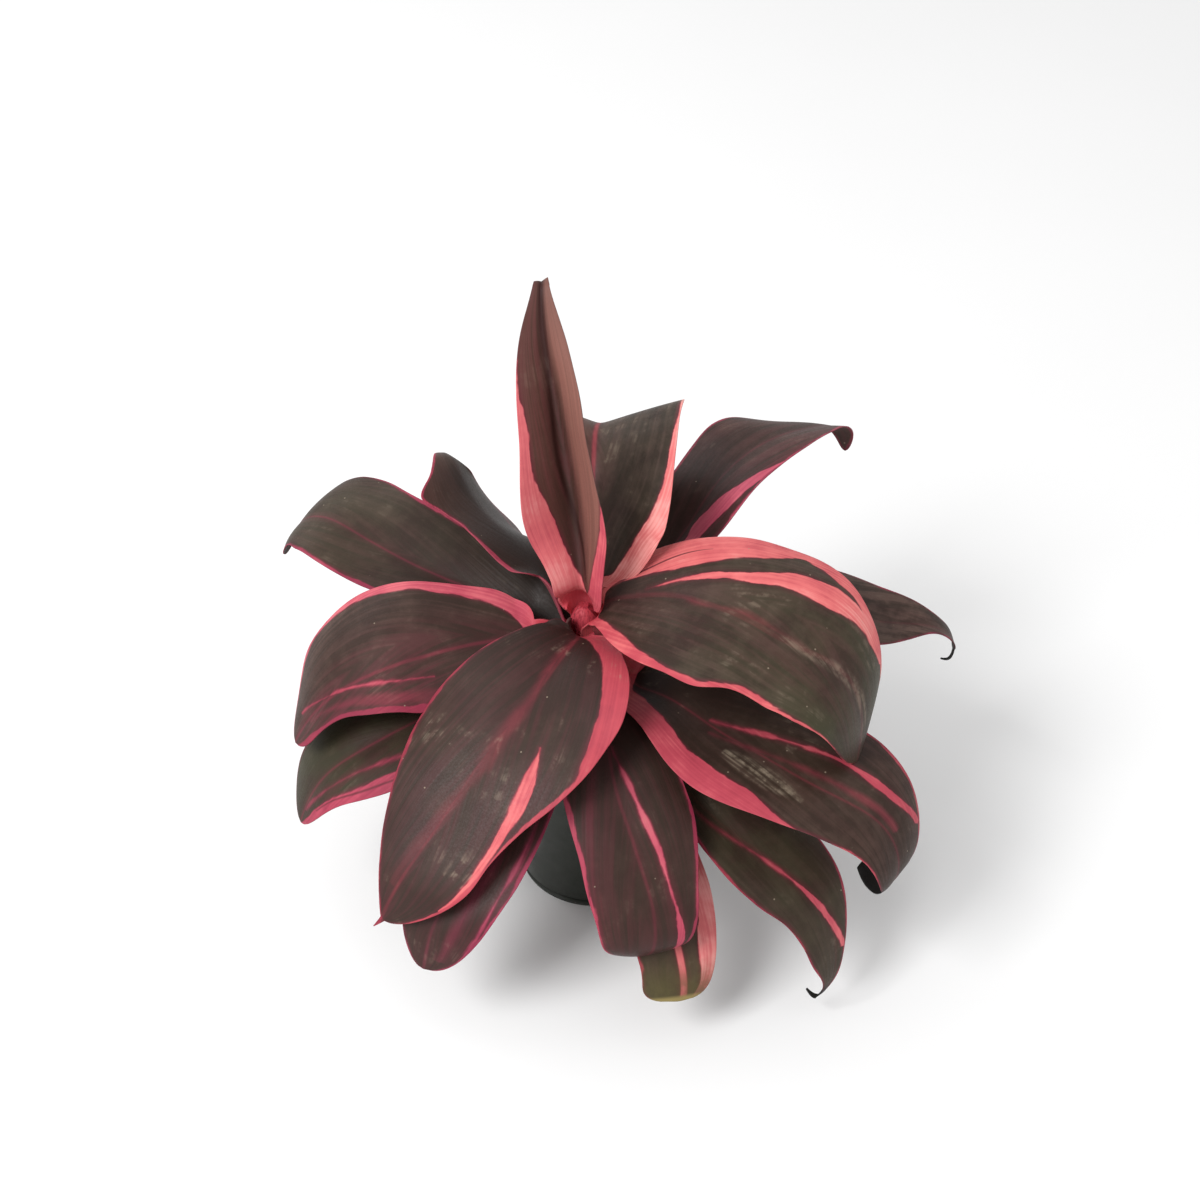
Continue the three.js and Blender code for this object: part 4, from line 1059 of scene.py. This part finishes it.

    # The underside, scuffs and painted sheen, yellowed ends, painted shade at the tips and pale specks
    pale = r.mix(r.math("MULTIPLY", pink, 0.6), colours.underside, rose)
    lower = r.mix(r.ramp(streak, 0.35, 0.7, 0.0, 0.4), pale, colours.smoke)
    base = r.mix(face, lower, upper)
    # Patches of painted sheen, mixed with scuffs
    sheen_and_scuff_patches = r.math("MULTIPLY", r.ramp(cloud, 0.54, 0.68), r.ramp(streak, 0.4, 0.7))
    sheen_and_scuff_patches = r.math("MULTIPLY", sheen_and_scuff_patches, r.ramp(mottle, 0.45, 0.62, 0.0, 0.5))
    sheen_and_scuff_patches = r.math("MULTIPLY", sheen_and_scuff_patches, sheen_and_scuff_share)
    # A pale streak of painted sheen, broken up along the veins
    offset, half, strength = r.read("sheen_streak")
    sheen_streak = r.math("MULTIPLY", r.ramp(r.inside(offset, half), -2.0, 2.5), strength)
    sheen_streak = r.math("MULTIPLY", sheen_streak, r.ramp(streak, 0.36, 0.62, 0.1, 0.8))
    sheen_streak = r.math("MULTIPLY", sheen_streak, r.ramp(mottle, 0.36, 0.6, 0.2, 1.0))
    base = r.mix(r.math("MAXIMUM", sheen_and_scuff_patches, sheen_streak), base, colours.scuff_and_sheen)
    base = r.mix(r.math("MULTIPLY", sear, r.ramp(mottle, 0.3, 0.6, 0.6, 1.0)), base, colours.sear)
    base = r.mix(r.ramp(r.math("MULTIPLY", sear, t), 0.84, 0.89), base, colours.straw)
    # Painted shade on the curled tip end
    base = r.mix(tip_shade, base, colours.tip_shade)
    specks = r.node("ShaderNodeTexVoronoi", {"Vector": where, "Scale": 150.0, "Randomness": 1.0})
    chance = r.node("ShaderNodeSeparateColor", {0: specks.outputs["Color"]}).outputs[0]
    dot = r.ramp(specks.outputs["Distance"], 0.05, 0.1, 1.0, 0.0)
    speck = r.math("MULTIPLY", r.math("GREATER_THAN", chance, 0.9), dot)
    base = r.mix(r.math("MULTIPLY", speck, 0.6), base, colours.scuff_and_sheen)

    matt_below = r.math("MULTIPLY_ADD", face, -0.12, 0.12)
    roughness = r.math("ADD", r.ramp(grain, 0.3, 0.7, 0.46, 0.58), matt_below)
    ridges = r.math("ADD", r.math("MULTIPLY", fine, 0.2), r.math("MULTIPLY", streak, 0.9))
    normal = r.bump(ridges, 0.35, 0.5 * MM)
    normal = r.bump(grain, 0.1, 0.2 * MM, normal)
    return r.finish({"Base Color": base, "Roughness": roughness, "Normal": normal,
                     "Specular IOR Level": 0.25})


def pot_material(colours):
    """Dark green-black moulded plastic with a faint grain and a little dust."""
    r = Recipe("Pot plastic")
    where = r.where()
    grain = r.noise(where, 1500.0, 2.0)
    cloud = r.noise(where, 24.0, 4.0, 0.6)
    dust = r.ramp(cloud, 0.5, 0.75, 0.0, 0.35)
    base = r.mix(dust, colours.pot, colour("#3c4039"))
    roughness = r.ramp(cloud, 0.3, 0.7, 0.42, 0.6)
    normal = r.bump(grain, 0.25, 0.1 * MM)
    return r.finish({"Base Color": base, "Roughness": roughness, "Normal": normal,
                     "Specular IOR Level": 0.4})


def soil_material(colours):
    """Damp dark potting mix with bark fibres and pale grains."""
    r = Recipe("Potting mix")
    where = r.where()
    crumbs = r.node("ShaderNodeTexVoronoi", {"Vector": where, "Scale": 420.0})
    shade = r.node("ShaderNodeSeparateColor", {0: crumbs.outputs["Color"]}).outputs
    base = r.mix(r.ramp(shade[0], 0.2, 0.95, 0.0, 0.8), colours.soil, colour("#4a3527"))
    base = r.mix(r.math("GREATER_THAN", shade[1], 0.955), base, colour("#b9ab93"))
    wet = r.noise(where, 90.0, 4.0, 0.6)
    base = r.mix(r.ramp(wet, 0.4, 0.6, 0.0, 0.5), base, colour("#140e0a"))
    normal = r.bump(r.math("ADD", crumbs.outputs["Distance"], wet), 0.8, 1.2 * MM)
    roughness = r.ramp(wet, 0.3, 0.7, 0.95, 0.75)
    return r.finish({"Base Color": base, "Roughness": roughness, "Normal": normal,
                     "Specular IOR Level": 0.2})


def cane_material(colours):
    """Ringed tan bark below, and the red bases of the young leaves above."""
    r = Recipe("Cane bark and sheaths")
    where = r.where()
    height = r.node("ShaderNodeSeparateXYZ", {0: where}).outputs[2]
    drawn_out = r.node("ShaderNodeVectorMath", {0: where, 1: (900.0, 900.0, 60.0)}, operation="MULTIPLY")
    fibre = r.noise(drawn_out.outputs[0])
    cloud = r.noise(where, 60.0, 3.0)
    bark = r.mix(r.ramp(fibre, 0.3, 0.7), colours.bark, colour("#3c2c22"))
    sheath = r.mix(r.ramp(fibre, 0.35, 0.7, 0.35, 0.85), colours.stalk, colour("#84222f"))
    change = r.math("MULTIPLY_ADD", cloud, 0.02, height)
    turn = r.read("wraps")[0]
    # Painted shade in the slits under the wrapped sheath edges
    slit_shade = r.math("MAXIMUM", r.ramp(turn, 0.92, 0.98), r.ramp(turn, 0.0, 0.03, 1.0, 0.0))
    sheath = r.mix(r.math("MULTIPLY", slit_shade, 0.75), sheath, colour("#3a0f18"))
    base = r.mix(r.ramp(change, 0.118, 0.128), bark, sheath)
    normal = r.bump(fibre, 0.5, 0.3 * MM)
    roughness = r.ramp(fibre, 0.3, 0.7, 0.5, 0.75)
    return r.finish({"Base Color": base, "Roughness": roughness, "Normal": normal,
                     "Specular IOR Level": 0.3})


def floor_material():
    """Plain matt white paper."""
    r = Recipe("Floor paper")
    where = r.where()
    base = r.mix(r.noise(where, 3.0, 2.0), colour("#f1f1f1"), colour("#f4f4f4"))
    return r.finish({"Base Color": base, "Roughness": 0.9, "Specular IOR Level": 0.1})


# Pieces

class TI_OT_leaves(bpy.types.Operator):
    """Makes the eighteen leaves"""

    bl_idname = "ti.leaves"
    bl_label = "Leaves"

    def execute(self, context):
        sizes = context.scene.ti_sizes
        material = leaf_material(sizes, context.scene.ti_colours)
        for leaf in LEAVES:
            upper, lower, marks = leaf_grid(
                leaf, sizes.leaf_rows, sizes.leaf_columns, sizes.margin_thick / MM)
            name = "fine_" + leaf["name"]
            mesh = closed_leaf(name, upper, lower, leaf_fields(leaf, marks))
            place_piece(name, mesh, material, leaf["name"])
        return {"FINISHED"}


class TI_OT_cane(bpy.types.Operator):
    """Makes the cane with its ring scars and the sheaths wrapped round its upper part"""

    bl_idname = "ti.cane"
    bl_label = "Cane"

    sides: bpy.props.IntProperty(name="Sides", description="Faces round the cane", default=64)

    def execute(self, context):
        heights = np.linspace(CANE_LOW.z / MM, CROWN_TOP, 380)
        angles = np.linspace(0, 2 * math.pi, self.sides, endpoint=False)
        centre, radius = cane_at(heights)
        radius = np.maximum(radius, threaded(CROWN, heights))
        height, angle = heights[:, None], angles[None, :]
        beside_scar = (height - SCAR_FIRST) % SCAR_STEP - SCAR_STEP / 2
        scars = SCAR_HIGH * np.exp(-(beside_scar / SCAR_SOFT) ** 2) * (1 - eased(height, *SCARS_END))
        turns = (height / WRAP_RISE + WRAP_EDGES * angle / (2 * math.pi)) % 1
        sheaths = np.interp(heights, *zip(*WRAPS))[:, None] * turns
        around = radius[:, None] - CANE_INSET + scars + sheaths
        points = np.stack((
            centre[:, :1] + around * np.cos(angle),
            centre[:, 1:2] + around * np.sin(angle),
            height + 0 * angle,
        ), -1)
        mesh = ringed("fine_cane", points * MM)
        carry(mesh, "wraps", np.stack((turns,) * 3, -1))
        smooth(mesh, math.radians(50))
        place_piece("fine_cane", mesh, cane_material(context.scene.ti_colours), "cane")
        return {"FINISHED"}


class TI_OT_soil(bpy.types.Operator):
    """Makes the potting mix with its crumbs and the hole that the cane stands in"""

    bl_idname = "ti.soil"
    bl_label = "Potting mix"

    sides: bpy.props.IntProperty(name="Sides", description="Faces round the mix", default=160)
    rings: bpy.props.IntProperty(name="Rings", description="Rings from the cane to the pot", default=56)

    def execute(self, context):
        crumb = context.scene.ti_sizes.soil_crumb
        low, top = SOIL_LOW.z, SOIL_TOP * MM
        rim = SOIL_HIGH.x
        foot = SOIL_FOOT * MM
        hole_centre, hole_radius = cane_at(SOIL_TOP)
        hole = (float(hole_radius) + HOLE_GAP) * MM
        sides, rings = self.sides, self.rings
        angles = np.linspace(0, 2 * math.pi, sides, endpoint=False)
        round_axis = np.stack((np.cos(angles), np.sin(angles)), -1)
        centre = hole_centre[:2] * MM
        share = np.linspace(0, 1, rings)[:, None, None]
        flat = (centre + hole * round_axis) * (1 - share) + rim * round_axis * share
        x, y = flat[..., 0] / MM, flat[..., 1] / MM
        lump = np.sin(0.31 * x + 1.3) * np.cos(0.27 * y - 0.6) + 0.6 * np.sin(0.52 * y + 0.4 * x)
        rough = np.random.default_rng(7).random((rings, sides)) - 0.5
        rough += np.sin(1.9 * x + 2 * np.sin(1.3 * y)) * np.sin(2.3 * y + 2 * np.sin(1.1 * x)) * 0.6
        fade = np.minimum(4 * (1 - share[..., 0]), 1) * np.minimum(8 * share[..., 0] + 0.2, 1)
        z = top + (1.4 * MM * lump + crumb * rough) * fade
        surface = np.concatenate((flat, z[..., None]), -1)

        def level(outline, height):
            """A level ring of the mix at a height."""
            return np.concatenate((outline, np.full((sides, 1), height)), -1)

        bottom = level(centre + hole * round_axis, CANE_LOW.z)
        shoulder = level(mixed(foot, rim, 0.08) * round_axis, low + 6 * MM)
        mesh = ringed("fine_soil", np.stack((bottom, *surface, shoulder, level(foot * round_axis, low))))
        smooth(mesh, math.radians(45))
        place_piece("fine_soil", mesh, soil_material(context.scene.ti_colours), "soil")
        return {"FINISHED"}


class TI_OT_pot(bpy.types.Operator):
    """Makes the pot with its rim band, grooved foot and drain holes"""

    bl_idname = "ti.pot"
    bl_label = "Pot"

    def execute(self, context):
        wall = context.scene.ti_sizes.pot_wall
        base, rim, height = POT_FOOT * MM, POT_HIGH.x, POT_HIGH.z
        band = height - RIM_BAND * MM

        def side(z):
            """The outside of the sloping wall at a height."""
            return mixed(base, rim - 2.2 * MM, z / band)

        def mm(*values):
            return [v * MM for v in values]

        # From the middle of the underside out to the foot, up the outside, over the rim and down inside
        profile = [
            (0, 0), mm(15.6, 0), mm(16.2, 0.3), mm(17.2, 1.2), mm(41, 1.2), mm(42, 0), mm(45.6, 0),
            (base, 0.5 * MM), (side(3.2 * MM) + 0.2 * MM, 2.8 * MM), (side(3.2 * MM) - 0.2 * MM, 3.3 * MM),
            (side(3.2 * MM) - 1.4 * MM, 4 * MM), (side(3.2 * MM) - 1.4 * MM, 5 * MM),
            (side(6 * MM) - 0.3 * MM, 5.9 * MM), (side(6.4 * MM), 6.5 * MM), (side(band - MM), band - MM),
            (side(band) + 0.2 * MM, band), (rim - 0.5 * MM, band + 0.4 * MM), (rim, band + 0.9 * MM),
            (rim, height - 0.9 * MM), (rim - 0.3 * MM, height - 0.2 * MM), (rim - 0.8 * MM, height),
            (rim - wall + 0.3 * MM, height), (rim - wall - 0.2 * MM, height - MM),
            (side(band) - wall, band - 1.5 * MM), (side(9.2 * MM) - wall, 9.2 * MM), mm(42, 4.2), mm(0, 4.2),
        ]
        shell = turned(profile, 144)
        mesh = bpy.data.meshes.new("fine_pot")
        shell.to_mesh(mesh)
        shell.free()
        pot = bpy.data.objects.new("fine_pot", mesh)
        drills = bmesh.new()
        out, radius = DRAIN_CIRCLE * MM, DRAIN_RADIUS * MM
        for i in range(DRAIN_HOLES):
            angle = (i + 0.5) * 2 * math.pi / DRAIN_HOLES
            where = Matrix.Translation((out * math.cos(angle), out * math.sin(angle), 3 * MM))
            bmesh.ops.create_cone(drills, cap_ends=True, segments=32, radius1=radius, radius2=radius,
                                  depth=12 * MM, matrix=where)
        drill_mesh = bpy.data.meshes.new("drills")
        drills.to_mesh(drill_mesh)
        drills.free()
        drill = bpy.data.objects.new("drills", drill_mesh)
        for made in (pot, drill):
            context.scene.collection.objects.link(made)
        cut = pot.modifiers.new("Drain holes", "BOOLEAN")
        cut.operation = "DIFFERENCE"
        cut.object = drill
        bored = bpy.data.meshes.new_from_object(pot.evaluated_get(context.evaluated_depsgraph_get()))
        bpy.data.objects.remove(pot)
        bpy.data.objects.remove(drill)
        smooth(bored, math.radians(40))
        place_piece("fine_pot", bored, pot_material(context.scene.ti_colours), "pot")
        return {"FINISHED"}


class TI_OT_stage(bpy.types.Operator):
    """Makes the floor, the lights and the camera"""

    bl_idname = "ti.stage"
    bl_label = "Stage"

    def execute(self, context):
        stage = context.scene.ti_stage
        floor_mesh = bpy.data.meshes.new("floor")
        made = bmesh.new()
        bmesh.ops.create_grid(made, x_segments=8, y_segments=8, size=FLOOR_HALF)
        made.to_mesh(floor_mesh)
        made.free()
        floor = bpy.data.objects.new("floor", floor_mesh)
        floor.location.z = -FLOOR_DROP
        context.scene.collection.objects.link(floor)
        floor_mesh.materials.append(floor_material())

        world = bpy.data.worlds.new("Studio")
        world.use_nodes = True
        sky = world.node_tree.nodes["Background"].inputs
        sky["Color"].default_value = (1, 1, 1, 1)
        sky["Strength"].default_value = stage.sky
        context.scene.world = world

        lamps = (("Key", (-1.35, -1.4, 2.1), 1.1, stage.key), ("Rim", (-1.2, 1.4, 1.6), 1.2, stage.rim))
        for name, place, size, power in lamps:
            lamp = bpy.data.lights.new(name, "AREA")
            lamp.size = size
            lamp.energy = power
            self.aim(context, bpy.data.objects.new(name, lamp), Vector(place))

        camera = bpy.data.cameras.new("Camera")
        camera.sensor_width = SENSOR_WIDTH
        camera.lens = LENS
        drop = stage.camera_height
        away = Vector((0, -math.cos(drop), math.sin(drop))) * stage.camera_distance
        eye = self.aim(context, bpy.data.objects.new("Camera", camera), MIDDLE + away)
        context.scene.camera = eye
        context.scene.view_settings.view_transform = "Standard"
        return {"FINISHED"}

    def aim(self, context, made, place):
        """Puts a lamp or the camera at a place, turned to the middle of the plant."""
        made.location = place
        made.rotation_euler = (MIDDLE - place).to_track_quat("-Z", "Y").to_euler()
        context.scene.collection.objects.link(made)
        return made


OPERATORS = (TI_OT_stage, TI_OT_pot, TI_OT_soil, TI_OT_cane, TI_OT_leaves)


class TI_PT_panel(bpy.types.Panel):
    """Lists the pieces, sizes and colours"""

    bl_idname = "TI_PT_panel"
    bl_label = "Ti Plant"
    bl_space_type = "VIEW_3D"
    bl_region_type = "UI"
    bl_category = "Ti Plant"

    def draw(self, context):
        for made in OPERATORS:
            self.layout.operator(made.bl_idname)
        for group in GROUPS:
            box = self.layout.box()
            owner = getattr(context.scene, group)
            for name in owner.__annotations__:
                box.prop(owner, name)


CLASSES = (TiSizes, TiColours, TiStage, *OPERATORS, TI_PT_panel)
GROUPS = {"ti_sizes": TiSizes, "ti_colours": TiColours, "ti_stage": TiStage}


def register():
    for made in CLASSES:
        bpy.utils.register_class(made)
    for name, group in GROUPS.items():
        setattr(bpy.types.Scene, name, bpy.props.PointerProperty(type=group))


def unregister():
    for name in GROUPS:
        delattr(bpy.types.Scene, name)
    for made in reversed(CLASSES):
        bpy.utils.unregister_class(made)


def main():
    for start in ("Cube", "Light", "Camera"):
        if start in bpy.data.objects:
            bpy.data.objects.remove(bpy.data.objects[start])
    register()
    bpy.ops.ti.stage()
    bpy.ops.ti.pot()
    bpy.ops.ti.soil()
    bpy.ops.ti.cane()
    bpy.ops.ti.leaves()


if __name__ == "__main__":
    main()
